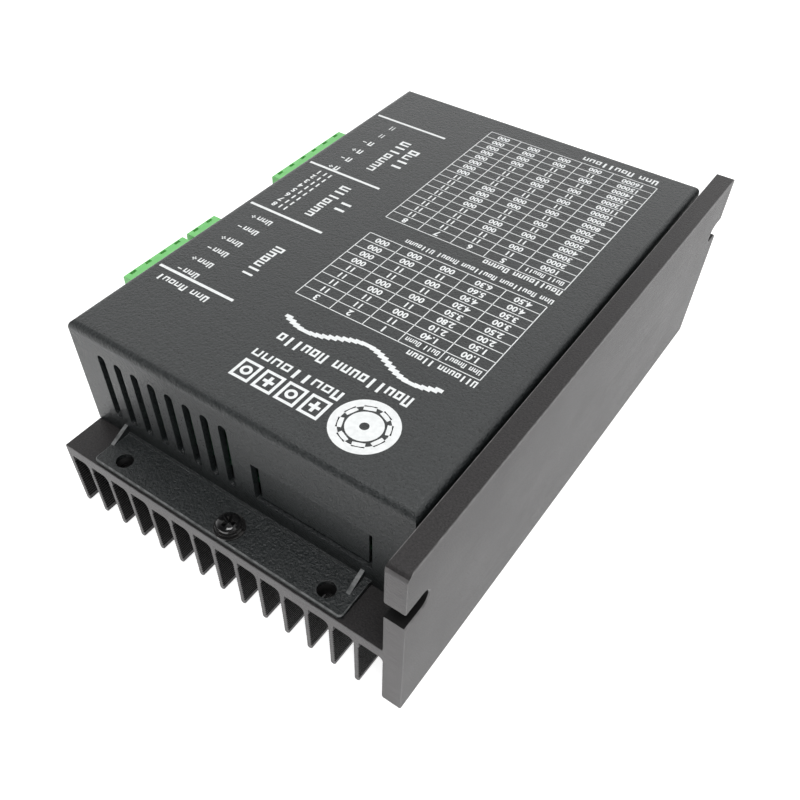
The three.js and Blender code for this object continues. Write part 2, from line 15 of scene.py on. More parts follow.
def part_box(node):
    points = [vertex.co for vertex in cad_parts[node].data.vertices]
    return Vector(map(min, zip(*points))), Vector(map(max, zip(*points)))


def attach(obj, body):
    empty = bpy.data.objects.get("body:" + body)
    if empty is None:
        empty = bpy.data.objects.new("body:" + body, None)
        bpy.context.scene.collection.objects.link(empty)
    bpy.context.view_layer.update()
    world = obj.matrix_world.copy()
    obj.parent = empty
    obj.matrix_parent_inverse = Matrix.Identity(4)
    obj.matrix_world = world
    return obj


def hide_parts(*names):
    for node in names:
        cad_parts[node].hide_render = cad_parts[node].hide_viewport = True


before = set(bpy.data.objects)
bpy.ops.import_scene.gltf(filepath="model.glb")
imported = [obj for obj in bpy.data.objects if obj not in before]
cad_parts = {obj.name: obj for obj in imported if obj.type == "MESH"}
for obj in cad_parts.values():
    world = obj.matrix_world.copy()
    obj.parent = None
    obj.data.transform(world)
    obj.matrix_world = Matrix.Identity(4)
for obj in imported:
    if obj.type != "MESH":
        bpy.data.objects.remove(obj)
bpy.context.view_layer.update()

MM = 0.001
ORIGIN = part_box("heatsink")[0]
TO_FRAME = Matrix.Translation(ORIGIN) @ Matrix.Scale(MM, 4)
OVERCUT = 1.0  # how far a cutting tool runs past the face it opens

bpy.context.scene.view_settings.view_transform = "Standard"


def in_mm(node):
    """A CAD node's lowest and highest corner, in the millimetres that shapes are drawn in."""
    low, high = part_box(node)
    return (low - ORIGIN) / MM, (high - ORIGIN) / MM


def spans(node):
    """A CAD node's extents along X, Y and Z, in drawing millimetres."""
    return list(zip(*in_mm(node)))


def middle(span):
    return (span[0] + span[1]) / 2


def around(centre, width):
    """The span of a width about a centre."""
    return centre - width / 2, centre + width / 2


# ---------------------------------------------------------------- dimensions, in millimetres

SINK_HIGH = in_mm("heatsink")[1]
SINK = {
    "length": SINK_HIGH.y,
    "width": SINK_HIGH.x,
    "plate_top": 20.4,
    "plate_thickness": 3.2,
    "fins": 14,
    "fin_pitch": 6.53,
    "fin_thickness": 1.3,
    "root_radius": 1.3,
    "left_radius": 0.35,
    "thick_land_gaps": (4, 10),
    "thick_land_extra": 0.9,
    "flange_top": SINK_HIGH.z,
    "flange_thickness": 4.9,
    "tooth_pitch": 0.8,
    "tooth_depth": 0.3,
    "teeth_start": 1.5,
    "tip_break": 0.4,
    "front_corner_radius": 1.8,
    "edge_break": 0.12,
    "slot_width": 5.0,
    "slot_height": 36.2,
    "front_slot_depth": 7.8,
    "back_slot_depth": 6.0,
    "slot_chamfer": 0.3,
}
FLANGE_INNER = SINK["width"] - SINK["flange_thickness"]
PLATE_BOTTOM = SINK["plate_top"] - SINK["plate_thickness"]

COVER = {
    "right": 91.2,
    "front": 11.0,
    "back": 142.5,
    "bottom": 20.45,
    "top": in_mm("cover")[1].z,
    "wall": 1.5,
    "edge_radius": 2.2,
    "foot_top": 21.65,
    "foot_left": 9.8,
    "foot_right": 81.5,
    "foot_corner": 1.0,
    "foot_step": 0.65,
    "foot_step_rise": 0.22,
    "foot_front": 0.5,
    "foot_back": 150.5,
    "hole_radius": 2.1,
    "gusset_thickness": 1.0,
    "right_gusset_inset": 1.7,
    "gusset_length": 5.2,
    "gusset_height": 2.8,
    "vents": 8,
    "vent_first": 8.75,
    "vent_pitch": 5.06,
    "vent_width": 2.25,
    "vent_bottom": 26.0,
    "vent_top": 44.9,
    "panel_x": (50.8, 81.7),
    "panel_z": (26.3, 37.7),
    "panel_recess": 0.8,
    "panel_side_slit": 1.3,
    "panel_bottom_slit": 0.5,
    "edge_break": 0.14,
    "foot_edge_chamfer": 0.28,
}
FOOT_HOLES_X = (16.3, 48.7, 75.2)
FOOT_HOLES_Y = (4.1, 146.9)
SCREW = {"washer": 3.6, "spring": 3.1, "head": 2.75}
SIDE_WINDOWS = ((35.6, 68.6, 30.5, 42.4), (69.7, 90.6, 32.2, 40.0), (91.8, 122.9, 30.5, 42.4))

POLE_PITCH = 5.08
TERMINALS = (("signal_4", 4), ("signal_2", 2), ("power_6", 6))
PLUG = {
    "shoulder": 1.4,
    "tongue_z": (32.6, 38.6),
    "tongue_inset": 0.6,
    "socket": 1.5,
    "socket_end": -2.0,
    "socket_height": 35.5,
    "entry_width": 3.4,
    "entry_z": (36.8, 40.6),
    "entry_flare": 0.45,
    "chamber_x": (-10.7, -5.9),
    "chamber_width": 3.8,
    "chamber_z": (34.0, 41.0),
    "well_radius": 1.9,
    "well_end": 33.0,
    "throat": 1.5,
    "window_x": -10.7,
    "window_width": 0.8,
    "window_length": 1.8,
    "window_bottom": 40.8,
    "well_lead": 0.25,
    "groove": 0.35,
    "groove_stop": 1.0,
    "groove_end": -3.5,
    "chamfer": 0.4,
}
HEADER = {
    "gap": 0.3,
    "wall": 1.0,
    "floor": 4.0,
    "pin_half": 0.5,
    "pin_tip": 0.8,
    "pin_taper": 0.45,
    "pin_end": 3.0,
}
SCREW_X = -8.7
LED_HEIGHT = 36.0
LED_HOLE_RADIUS = 1.6


# ---------------------------------------------------------------- mesh helpers


def new_piece(name, bm):
    """An object that holds what bm holds, still in drawing millimetres."""
    bmesh.ops.recalc_face_normals(bm, faces=bm.faces)
    mesh = bpy.data.meshes.new(name)
    bm.to_mesh(mesh)
    bm.free()
    piece = bpy.data.objects.new(name, mesh)
    bpy.context.scene.collection.objects.link(piece)
    return piece


def loft(name, rings):
    """A closed solid through rings of points, with flat ends."""
    bm = bmesh.new()
    verts = [[bm.verts.new(point) for point in ring] for ring in rings]
    count = len(rings[0])
    for ring, following in zip(verts, verts[1:]):
        for i in range(count):
            j = (i + 1) % count
            bm.faces.new((ring[i], ring[j], following[j], following[i]))
    bm.faces.new(verts[0])
    bm.faces.new(verts[-1])
    return new_piece(name, bm)


def place_outline(points, axis, along):
    """Outline points (a, b) in the plane across an axis, at a distance along it."""
    if axis == "X":
        return [(along, a, b) for a, b in points]
    if axis == "Y":
        return [(a, along, b) for a, b in points]
    return [(a, b, along) for a, b in points]


def prism(name, points, axis, low, high):
    """An outline carried straight along an axis."""
    return loft(name, [place_outline(points, axis, low), place_outline(points, axis, high)])


def rectangle(a0, a1, b0, b1):
    return [(a0, b0), (a1, b0), (a1, b1), (a0, b1)]


def block(name, xs, ys, zs):
    return prism(name, rectangle(*xs, *ys), "Z", *zs)


def arc(centre, radius, start, end, steps):
    """Points of an arc in degrees, both ends included."""
    turns = [math.radians(start + (end - start) * i / steps) for i in range(steps + 1)]
    return [(centre[0] + radius * math.cos(t), centre[1] + radius * math.sin(t)) for t in turns]


def rounded_rectangle(a0, a1, b0, b1, radius, steps=4):
    corners = ((a1 - radius, b0 + radius, -90), (a1 - radius, b1 - radius, 0))
    corners += ((a0 + radius, b1 - radius, 90), (a0 + radius, b0 + radius, 180))
    points = []
    for a, b, start in corners:
        points += arc((a, b), radius, start, start + 90, steps)
    return points


def circle(centre, radius, steps=32):
    return arc(centre, radius, 0, 360, steps)[:-1]


def inset(points, distance):
    """Moves each point of an anticlockwise outline inwards along its corner's bisector."""
    moved = []
    count = len(points)
    for i, (a, b) in enumerate(points):
        before = Vector(points[i - 1])
        after = Vector(points[(i + 1) % count])
        here = Vector((a, b))
        first = (here - before).normalized()
        second = (after - here).normalized()
        normal = Vector((-(first.y + second.y), first.x + second.x))
        if normal.length < 1e-6:
            normal = Vector((-first.y, first.x))
        normal.normalize()
        moved.append(tuple(here + normal * distance))
    return moved


def lathe(name, profile, centre, axis="Z", steps=32):
    """A solid of revolution: profile is (radius, height) from one end to the other, without zero radii."""
    rings = [place_outline(circle(centre, radius, steps), axis, height) for radius, height in profile]
    return loft(name, rings)


def evaluated(piece):
    """Bakes a piece's modifiers into its mesh."""
    graph = bpy.context.evaluated_depsgraph_get()
    baked = bpy.data.meshes.new_from_object(piece.evaluated_get(graph))
    piece.modifiers.clear()
    piece.data = baked
    return piece


def combine(piece, tools, operation):
    """Applies a boolean with each tool in turn, and removes the tools."""
    for tool in tools:
        change = piece.modifiers.new("combine", "BOOLEAN")
        change.operation = operation
        change.object = tool
        change.solver = "EXACT"
    evaluated(piece)
    for tool in tools:
        bpy.data.objects.remove(tool)
    return piece


def cut(piece, tools):
    return combine(piece, tools, "DIFFERENCE")


def join(piece, others):
    """Puts other pieces' faces into one piece, without a boolean."""
    bm = bmesh.new()
    bm.from_mesh(piece.data)
    for other in others:
        bm.from_mesh(other.data)
        bpy.data.objects.remove(other)
    bm.to_mesh(piece.data)
    bm.free()
    return piece


def clean(piece, angle=0.4, distance=0.004):
    """Merges doubled points and flat neighbours that a boolean leaves."""
    bm = bmesh.new()
    bm.from_mesh(piece.data)
    bmesh.ops.remove_doubles(bm, verts=bm.verts, dist=distance)
    bmesh.ops.dissolve_limit(bm, angle_limit=math.radians(angle), verts=bm.verts, edges=bm.edges)
    bm.to_mesh(piece.data)
    bm.free()
    return piece


def add_bevel(piece, width, segments=2, angle=40):
    """A modifier that breaks edges sharper than an angle in degrees; width is in the piece's own units."""
    change = piece.modifiers.new("soften", "BEVEL")
    change.width = width
    change.segments = segments
    change.limit_method = "ANGLE"
    change.angle_limit = math.radians(angle)
    change.use_clamp_overlap = True


def soften(piece, width, segments=2):
    """Breaks a piece's sharp edges."""
    add_bevel(piece, width, segments)
    return evaluated(piece)


def carve(piece, tools, edge):
    """Cuts a piece, cleans up after the boolean and breaks its edges."""
    cut(piece, tools)
    clean(piece)
    return soften(piece, edge)


def paint_faces(piece, materials, kind):
    """Gives a piece several materials; kind says which one a face takes."""
    for material in materials:
        piece.data.materials.append(material)
    for polygon in piece.data.polygons:
        polygon.material_index = kind(polygon)


def finish_piece(piece, body, material, replaced=(), smooth_angle=32):
    """Puts a drawn piece into the frame, and says what it rides on and stands for."""
    piece.data.transform(TO_FRAME)
    if not piece.data.materials:
        piece.data.materials.append(material)
    for polygon in piece.data.polygons:
        polygon.use_smooth = True
    piece.data.set_sharp_from_angle(angle=math.radians(smooth_angle))
    flatten = piece.modifiers.new("flatten", "WEIGHTED_NORMAL")
    flatten.weight = 80
    flatten.keep_sharp = True
    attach(piece, body)
    if replaced:
        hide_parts(*replaced)
    return piece


# ---------------------------------------------------------------- material helpers


class Shader:
    """Builds a material's nodes: a method that adds a node returns its output."""

    def __init__(self, name):
        self.material = bpy.data.materials.new(name)
        self.material.use_nodes = True
        self.nodes = self.material.node_tree.nodes
        self.links = self.material.node_tree.links
        self.point = self.nodes.new("ShaderNodeTexCoord").outputs["Object"]

    def feed(self, node, inputs):
        """Links or sets a node's inputs, named with _ for each space."""
        for name, value in inputs.items():
            socket = node.inputs[name.replace("_", " ")]
            if isinstance(value, bpy.types.NodeSocket):
                self.links.new(value, socket)
            else:
                socket.default_value = value

    def add(self, kind, output, **inputs):
        node = self.nodes.new("ShaderNode" + kind)
        self.feed(node, inputs)
        return node.outputs[output]

    def noise(self, scale, detail=2.0, roughness=0.5, stretch=None):
        place = self.point
        if stretch:
            place = self.add("Mapping", "Vector", Vector=place, Scale=stretch)
        return self.add("TexNoise", "Fac", Vector=place, Scale=scale, Detail=detail, Roughness=roughness)

    def grains(self, scale):
        return self.add("TexVoronoi", "Distance", Vector=self.point, Scale=scale)

    def tint(self, value, first, second, start=0.3, end=0.7):
        """Maps a value from one colour to another."""
        node = self.nodes.new("ShaderNodeValToRGB")
        for element, position, colour in zip(node.color_ramp.elements, (start, end), (first, second)):
            element.position = position
            element.color = (*colour, 1.0)
        self.feed(node, {"Fac": value})
        return node.outputs["Color"]

    def spread(self, value, low, high):
        """Maps a noise's middle range to low..high."""
        limits = {"From_Min": 0.3, "From_Max": 0.7, "To_Min": low, "To_Max": high}
        return self.add("MapRange", "Result", Value=value, **limits)

    def mix(self, factor, first, second):
        node = self.nodes.new("ShaderNodeMix")
        node.data_type = "RGBA"
        self.feed(node, {"Factor": factor})
        for name, value in (("A", first), ("B", second)):
            socket = next(s for s in node.inputs if s.name == name and s.type == "RGBA")
            if isinstance(value, tuple):
                socket.default_value = (*value, 1.0)
            else:
                self.links.new(value, socket)
        return next(s for s in node.outputs if s.type == "RGBA")

    def math(self, operation, first, second):
        node = self.nodes.new("ShaderNodeMath")
        node.operation = operation
        self.links.new(first, node.inputs[0])
        if isinstance(second, float):
            node.inputs[1].default_value = second
        else:
            self.links.new(second, node.inputs[1])
        return node.outputs["Value"]

    def normal_part(self, axis):
        """How far the true normal points along an axis, without sign."""
        normal = self.add("NewGeometry", "True Normal")
        return self.math("ABSOLUTE", self.add("SeparateXYZ", axis, Vector=normal), 0.0)

    def edge_wear(self, low, high):
        """Rises on convex edges."""
        pointiness = self.add("NewGeometry", "Pointiness")
        return self.add("MapRange", "Result", Value=pointiness, From_Min=low, From_Max=high)

    def bump(self, height, strength, distance, **under):
        return self.add("Bump", "Normal", Height=height, Strength=strength, Distance=distance, **under)

    def done(self, colour, roughness, normal=None, **fixed):
        """Links colour, roughness and any bump, and sets the other inputs' fixed values."""
        inputs = {"Base_Color": colour, "Roughness": roughness, **fixed}
        if normal is not None:
            inputs["Normal"] = normal
        self.feed(self.nodes["Principled BSDF"], inputs)
        return self.material


def anodised_aluminium():
    """Black anodising over a fine blast, streaked along the extrusion, with saw marks on both sawn ends; the
    ends are painted paler, a painted stand-in for the light that falls on the front end.
    """
    s = Shader("anodised_black")
    grain = s.noise(2300, 3.0, 0.75)
    cloud = s.noise(55, 4.0, 0.6)
    streaks = s.noise(1.0, 2.0, 0.5, stretch=(1400, 14, 1400))
    saw = s.noise(1.0, 3.0, 0.6, stretch=(260, 900, 2600))
    dark = s.tint(cloud, (0.010, 0.009, 0.0093), (0.016, 0.0145, 0.015))
    speckled = s.mix(s.spread(grain, 0.0, 1.0), dark, (0.038, 0.0355, 0.036))
    # Painted light: faces along Y take a paler colour that stands for light falling on the front end.
    ends = s.tint(saw, (0.075, 0.071, 0.072), (0.12, 0.115, 0.116))
    is_end = s.math("GREATER_THAN", s.normal_part("Y"), 0.8)
    colour = s.mix(is_end, speckled, ends)
    blend = s.math("ADD", s.math("MULTIPLY", streaks, 0.4), s.math("MULTIPLY", cloud, 0.6))
    roughness = s.spread(blend, 0.34, 0.42)
    fine = s.bump(grain, 0.8, 0.00016)
    drawn = s.bump(streaks, 0.12, 0.00005, Normal=fine)
    return s.done(colour, roughness, drawn, IOR=1.5, Specular_IOR_Level=0.25)


def anodised_painted_shade():
    """Near black anodising in grooves, slots and threads: painted shade where little light reaches them."""
    s = Shader("anodised_painted_shade")
    grain = s.noise(1900, 3.0, 0.7)
    streaks = s.noise(1.0, 2.0, 0.5, stretch=(1400, 14, 1400))
    # Painted shade: near black, standing for the shade inside the grooves, slots and threads.
    dark = s.tint(streaks, (0.0025, 0.0024, 0.0025), (0.006, 0.0057, 0.0058))
    roughness = s.spread(grain, 0.5, 0.62)
    return s.done(dark, roughness, s.bump(grain, 0.3, 0.00008), IOR=1.3)


def edge_painted_highlight(name, first, second):
    """A broken edge painted paler than the faces beside it: a painted highlight where the edge catches the
    light.
    """
    s = Shader(name)
    highlit_edge = s.noise(700, 3.0, 0.6)
    # Painted highlight: the pale tint stands for light caught on the edge.
    colour = s.tint(highlit_edge, first, second, 0.35, 0.65)
    return s.done(colour, s.spread(highlit_edge, 0.3, 0.42), s.bump(highlit_edge, 0.2, 0.00006), IOR=1.6)


def cover_plastic():
    """Dark grey moulding with a spark-eroded grain and a faint blue-green cast."""
    s = Shader("cover_grain")
    grain = s.noise(2100, 3.0, 0.7)
    pits = s.grains(1300)
    cloud = s.noise(26, 3.0, 0.55)
    base = s.tint(cloud, (0.0040, 0.0056, 0.0060), (0.0058, 0.0078, 0.0082))
    speckled = s.mix(s.spread(grain, 0.0, 1.0), base, (0.027, 0.031, 0.032))
    roughness = s.spread(grain, 0.26, 0.4)
    coarse = s.bump(pits, 0.5, 0.00014)
    fine = s.bump(grain, 1.0, 0.0002, Normal=coarse)
    return s.done(speckled, roughness, fine, IOR=1.52)


def plug_green():
    """Pale green polyamide, slightly cloudy."""
    s = Shader("plug_green")
    cloud = s.noise(240, 3.0, 0.5)
    grain = s.noise(3400, 2.0, 0.5)
    base = s.tint(cloud, (0.17, 0.58, 0.165), (0.21, 0.66, 0.20))
    shaded = s.mix(s.spread(grain, 0.0, 0.25), base, (0.12, 0.46, 0.12))
    roughness = s.spread(cloud, 0.36, 0.46)
    soft = {"Subsurface_Weight": 0.12, "Subsurface_Radius": (0.0006, 0.001, 0.0006)}
    return s.done(shaded, roughness, s.bump(grain, 0.12, 0.00004), **soft)


def plated_metal(name, first, second, rough=(0.22, 0.38)):
    """Turned or stamped metal with fine marks."""
    s = Shader(name)
    marks = s.noise(1.0, 2.0, 0.5, stretch=(2200, 2200, 300))
    cloud = s.noise(420, 3.0, 0.5)
    base = s.tint(cloud, first, second)
    worn = s.mix(s.edge_wear(0.52, 0.62), base, tuple(min(1.0, c * 1.25) for c in second))
    roughness = s.spread(cloud, *rough)
    return s.done(worn, roughness, s.bump(marks, 0.2, 0.00003), Metallic=1.0)


def black_steel():
    """Screw blackening: glossy with an oily unevenness."""
    s = Shader("black_oxide")
    cloud = s.noise(600, 3.0, 0.6)
    base = s.tint(cloud, (0.006, 0.006, 0.0065), (0.014, 0.0135, 0.014))
    # Paler on convex edges: wear on the rims, together with a painted highlight for their bright arcs.
    worn = s.mix(s.edge_wear(0.53, 0.64), base, (0.07, 0.068, 0.066))
    roughness = s.spread(cloud, 0.08, 0.17)
    oily = s.bump(cloud, 0.15, 0.00005)
    return s.done(worn, roughness, oily, Metallic=0.3, Coat_Weight=0.5, Coat_Roughness=0.08)


def moulded(name, first, second, rough=(0.35, 0.5)):
    """A plain small moulding with slight cloudiness and grain."""
    s = Shader(name)
    cloud = s.noise(320, 3.0, 0.5)
    grain = s.noise(3600, 2.0, 0.5)
    base = s.tint(cloud, first, second)
    worn = s.mix(s.edge_wear(0.53, 0.64), base, tuple(min(1.0, c * 1.3 + 0.01) for c in second))
    roughness = s.spread(cloud, *rough)
    return s.done(worn, roughness, s.bump(grain, 0.15, 0.00004))


def circuit_board():
    """Green solder mask over a pattern of traces."""
    s = Shader("solder_mask")
    traces = s.nodes.new("ShaderNodeTexBrick")
    s.feed(traces, {"Vector": s.point, "Scale": 150, "Mortar_Size": 0.03})
    s.feed(traces, {"Color1": (0.012, 0.085, 0.035, 1), "Color2": (0.016, 0.105, 0.044, 1)})
    s.feed(traces, {"Mortar": (0.03, 0.17, 0.07, 1)})
    weave = s.noise(1500, 2.0, 0.5)
    colour = s.mix(s.spread(weave, 0.0, 0.3), traces.outputs["Color"], (0.03, 0.13, 0.06))
    roughness = s.spread(weave, 0.25, 0.4)
    return s.done(colour, roughness, s.bump(traces.outputs["Fac"], 0.2, 0.00004))


def print_white():
    """Screen-printed ink with slight unevenness."""
    s = Shader("print_white")
    cloud = s.noise(900, 3.0, 0.6)
    colour = s.tint(cloud, (0.74, 0.76, 0.76), (0.86, 0.88, 0.88))
    return s.done(colour, s.spread(cloud, 0.5, 0.62), s.bump(cloud, 0.1, 0.00002))


def lens(name, first, second):
    """A tinted diffuse lamp lens."""
    s = Shader(name)
    cloud = s.noise(700, 2.0, 0.5)
    colour = s.tint(cloud, first, second)
    return s.done(colour, s.spread(cloud, 0.12, 0.22), Transmission_Weight=0.35, Coat_Weight=0.5)


ANODISED = anodised_aluminium()
# Painted shade for grooves, slots and threads.
ANODISED_PAINTED_SHADE = anodised_painted_shade()
# Pale edge material: a painted highlight on broken edges.
ANODISED_EDGE_HIGHLIGHT = edge_painted_highlight("anodised_edge_highlight", (0.06, 0.057, 0.057), (0.13, 0.125, 0.125))
COVER_GRAIN = cover_plastic()
# Pale edge material: a painted highlight on broken edges.
COVER_EDGE_HIGHLIGHT = edge_painted_highlight("cover_edge_highlight", (0.08, 0.084, 0.084), (0.20, 0.206, 0.206))
PLUG_GREEN = plug_green()
BLACK_STEEL = black_steel()
STEEL = plated_metal("zinc_plate", (0.50, 0.49, 0.47), (0.62, 0.60, 0.57))
TIN = plated_metal("tin_plate", (0.62, 0.62, 0.60), (0.74, 0.74, 0.72), (0.2, 0.34))
BRASS = plated_metal("brass_plate", (0.50, 0.38, 0.17), (0.62, 0.49, 0.24))
BOARD = circuit_board()
RED = moulded("switch_red", (0.36, 0.018, 0.016), (0.44, 0.026, 0.022))
IVORY = moulded("slider_white", (0.72, 0.71, 0.66), (0.80, 0.79, 0.75))
PACKAGE = moulded("package_black", (0.012, 0.012, 0.013), (0.022, 0.022, 0.023), (0.45, 0.6))
SLEEVE = moulded("capacitor_sleeve", (0.012, 0.025, 0.075), (0.018, 0.035, 0.10), (0.22, 0.34))
PRINT = print_white()
GREEN_LENS = lens("lens_green", (0.03, 0.40, 0.07), (0.05, 0.52, 0.10))
RED_LENS = lens("lens_red", (0.45, 0.02, 0.02), (0.58, 0.04, 0.03))


# ---------------------------------------------------------------- heat sink


def toothed(x, outward, start, end):
    """The points up one side of a fin whose face carries fine grooves; outward is +1 or -1 along X."""
    points = []
    pitch, depth = SINK["tooth_pitch"], SINK["tooth_depth"]
    count = int(abs(end - start) / pitch)
    direction = 1 if end > start else -1
    for i in range(count):
        z = start + direction * i * pitch
        points.append((x, z + direction * 0.1 * pitch))
        points.append((x - outward * depth, z + direction * 0.5 * pitch))
        points.append((x, z + direction * 0.9 * pitch))
    return points


def heatsink_section():
    """The extrusion's outline in X and Z."""
    tip = SINK["tip_break"]
    teeth_low = SINK["teeth_start"]
    left_radius, root = SINK["left_radius"], SINK["root_radius"]
    points = [(0, tip), (tip, 0)]
    for gap in range(SINK["fins"]):
        left = gap * SINK["fin_pitch"] + SINK["fin_thickness"]
        last = gap == SINK["fins"] - 1
        right = FLANGE_INNER if last else (gap + 1) * SINK["fin_pitch"]
        roof = PLATE_BOTTOM - (SINK["thick_land_extra"] if gap in SINK["thick_land_gaps"] else 0)
        points += [(left - tip, 0), (left, tip)]
        points += toothed(left, 1, teeth_low, roof - root)
        points += arc((left + left_radius, roof - left_radius), left_radius, 180, 90, 4)
        points += arc((right - root, roof - root), root, 90, 0, 7)
        points += toothed(right, -1, roof - root, teeth_low)
        points += [(right, tip), (right + tip, 0)]
    outer, top, inner = SINK["width"], SINK["flange_top"], FLANGE_INNER
    tip = SINK["edge_break"] * 2
    points += [(outer - tip, 0), (outer, tip)]
    points += arc((outer - tip, top - tip), tip, 0, 90, 3)
    points += arc((inner + tip, top - tip), tip, 90, 180, 3)
    points += arc((inner - tip, SINK["plate_top"] + tip), tip, 0, -90, 3)
    points += [(tip, SINK["plate_top"]), (0, SINK["plate_top"] - tip)]
    return points


def slot_outline(end_y, depth, direction, offset):
    """A flange slot's outline in Y and Z, grown by an offset."""
    radius = SINK["slot_width"] / 2 + offset
    seat = end_y + direction * (depth - SINK["slot_width"] / 2)
    mouth = end_y - direction * 2 * OVERCUT
    start = -90 if direction > 0 else 90
    bend = arc((seat, SINK["slot_height"]), radius, start, start + 180, 20)
    return [(mouth, bend[0][1]), *bend, (mouth, bend[-1][1])]


def flange_slot(end_y, depth, direction):
    """Cuts a mounting slot with chamfered rims."""
    chamfer = SINK["slot_chamfer"]
    stations = (
        (FLANGE_INNER - OVERCUT, chamfer + OVERCUT),
        (FLANGE_INNER + chamfer, 0),
        (SINK["width"] - chamfer, 0),
        (SINK["width"] + OVERCUT, chamfer + OVERCUT),
    )
    rings = [place_outline(slot_outline(end_y, depth, direction, o), "X", x) for x, o in stations]
    return loft("slot_tool", rings)


def flange_front_corner():
    """Rounds the flange's upper corner at the front, seen along X."""
    radius, top = SINK["front_corner_radius"], SINK["flange_top"]
    bend = arc((radius, top - radius), radius, 90, 180, 12)
    points = [*bend, (-OVERCUT, top - radius), (-OVERCUT, top + OVERCUT), (radius, top + OVERCUT)]
    return prism("corner_tool", points, "X", FLANGE_INNER - OVERCUT, SINK["width"] + OVERCUT)


def tapped_hole(x, y):
    """A threaded hole through the plate, as a stack of grooves."""
    pitch, crest, root = 0.7, 1.42, 1.66
    sink = 0.44
    profile = [(root + sink + OVERCUT, SINK["plate_top"] + OVERCUT), (root, SINK["plate_top"] - sink)]
    z = SINK["plate_top"] - sink - pitch / 2
    while z > PLATE_BOTTOM - OVERCUT:
        profile += [(crest, z), (root, z - pitch / 2)]
        z -= pitch
    profile.append((crest, PLATE_BOTTOM - 3 * OVERCUT))
    return lathe("thread_tool", profile, (x, y), "Z", 24)


def surface_kind(polygon):
    """A heat sink face's material: 0 plain, 1 painted shade in grooves, slots and threads, 2 painted
    highlight on broken edges.
    """
    centre, normal, skin = polygon.center, polygon.normal, 0.2
    facing = max(abs(part) for part in normal)
    inside = skin < centre.y < SINK["length"] - skin and skin < centre.x < SINK["width"] - skin
    # Channel faces between the fins, slot walls and threads take the painted shade.
    if inside and centre.z < PLATE_BOTTOM + OVERCUT:
        return 0 if abs(normal.x) > 0.98 or centre.z < SINK["tip_break"] else 1
    in_slot = abs(centre.z - SINK["slot_height"]) < SINK["slot_width"] / 2 + skin
    if inside and in_slot and centre.x > FLANGE_INNER:
        return 1 if abs(normal.x) < 0.9 else 0
    if inside and centre.z < SINK["plate_top"] - skin:
        return 1
    # Broken edges take the painted highlight, all but the rounding of the flange's front corner.
    radius = SINK["front_corner_radius"]
    in_corner = centre.y < radius and centre.z > SINK["flange_top"] - radius
    return 2 if facing < 0.97 and not in_corner else 0


def make_heatsink():
    section = heatsink_section()
    broken = inset(section, SINK["edge_break"])
    edge = SINK["edge_break"]
    stations = ((0, broken), (edge, section), (SINK["length"] - edge, section), (SINK["length"], broken))
    piece = loft("heatsink_extrusion", [place_outline(points, "Y", y) for y, points in stations])
    tools = [flange_slot(0, SINK["front_slot_depth"], 1)]
    tools.append(flange_slot(SINK["length"], SINK["back_slot_depth"], -1))
    tools.append(flange_front_corner())
    tools += [tapped_hole(x, y) for x in FOOT_HOLES_X for y in FOOT_HOLES_Y]
    cut(piece, tools)
    # Faces take plain anodising, painted shade in recesses, or a painted highlight on broken edges.
    paint_faces(piece, (ANODISED, ANODISED_PAINTED_SHADE, ANODISED_EDGE_HIGHLIGHT), surface_kind)
    return finish_piece(piece, "root", ANODISED, ["heatsink"], 28)


make_heatsink()


# ---------------------------------------------------------------- cover


def arched(low, high, bottom, top, radius, steps=10):
    """A box outline whose two upper corners are rounded."""
    points = [(low, bottom), (high, bottom)]
    points += arc((high - radius, top - radius), radius, 0, 90, steps)
    points += arc((low + radius, top - radius), radius, 90, 180, steps)
    return points


def arched_box(name, xs, ys, bottom, top, radius, steps=10):
    """A box with rounded, mitred upper edges."""
    across = prism(name, arched(*xs, bottom, top, radius, steps), "Y", *ys)
    along = prism("along", arched(*ys, bottom, top, radius, steps), "X", *xs)
    return combine(across, [along], "INTERSECT")


def foot(wall_y, edge_y, direction):
    """A foot with rounded outer corners, a low step where it meets the wall, and a web near each end."""
    radius, bottom, top = COVER["foot_corner"], COVER["bottom"], COVER["foot_top"]
    left, right = COVER["foot_left"], COVER["foot_right"]
    inner = wall_y + direction * COVER["wall"] / 2
    a, b = (180, 270) if direction > 0 else (180, 90)
    corner_y = edge_y + direction * radius
    outline = [(left, inner), *arc((left + radius, corner_y), radius, a, b, 5)]
    a, b = (270, 360) if direction > 0 else (90, 0)
    outline += [*arc((right - radius, corner_y), radius, a, b, 5), (right, inner)]
    ordered = outline if direction > 0 else outline[::-1]
    # The chamfer on the foot's top edge, which takes the painted highlight.
    highlit_edge = COVER["foot_edge_chamfer"]
    levels = ((bottom, ordered), (top - highlit_edge, ordered), (top, inset(ordered, highlit_edge)))
    parts = [loft("foot", [place_outline(points, "Z", z) for z, points in levels])]
    step_ys = sorted((inner, wall_y - direction * COVER["foot_step"]))
    parts.append(block("step", (left, right), step_ys, (top - 0.3, top + COVER["foot_step_rise"])))
    tip = wall_y - direction * COVER["gusset_length"]
    web = [(inner, top - 0.5), (tip, top - 0.5), (tip, top), (inner, top + COVER["gusset_height"])]
    thickness = COVER["gusset_thickness"]
    for x in (left, right - COVER["right_gusset_inset"] - thickness):
        parts.append(prism("web", web, "X", x, x + thickness))
    return parts


def vent(index, ys):
    centre = COVER["vent_first"] + index * COVER["vent_pitch"]
    radius = COVER["vent_width"] / 2
    points = arc((centre, COVER["vent_top"] - radius), radius, 0, 180, 8)
    points += arc((centre, COVER["vent_bottom"] + radius), radius, 180, 360, 8)
    return prism("vent_tool", points, "Y", *ys)


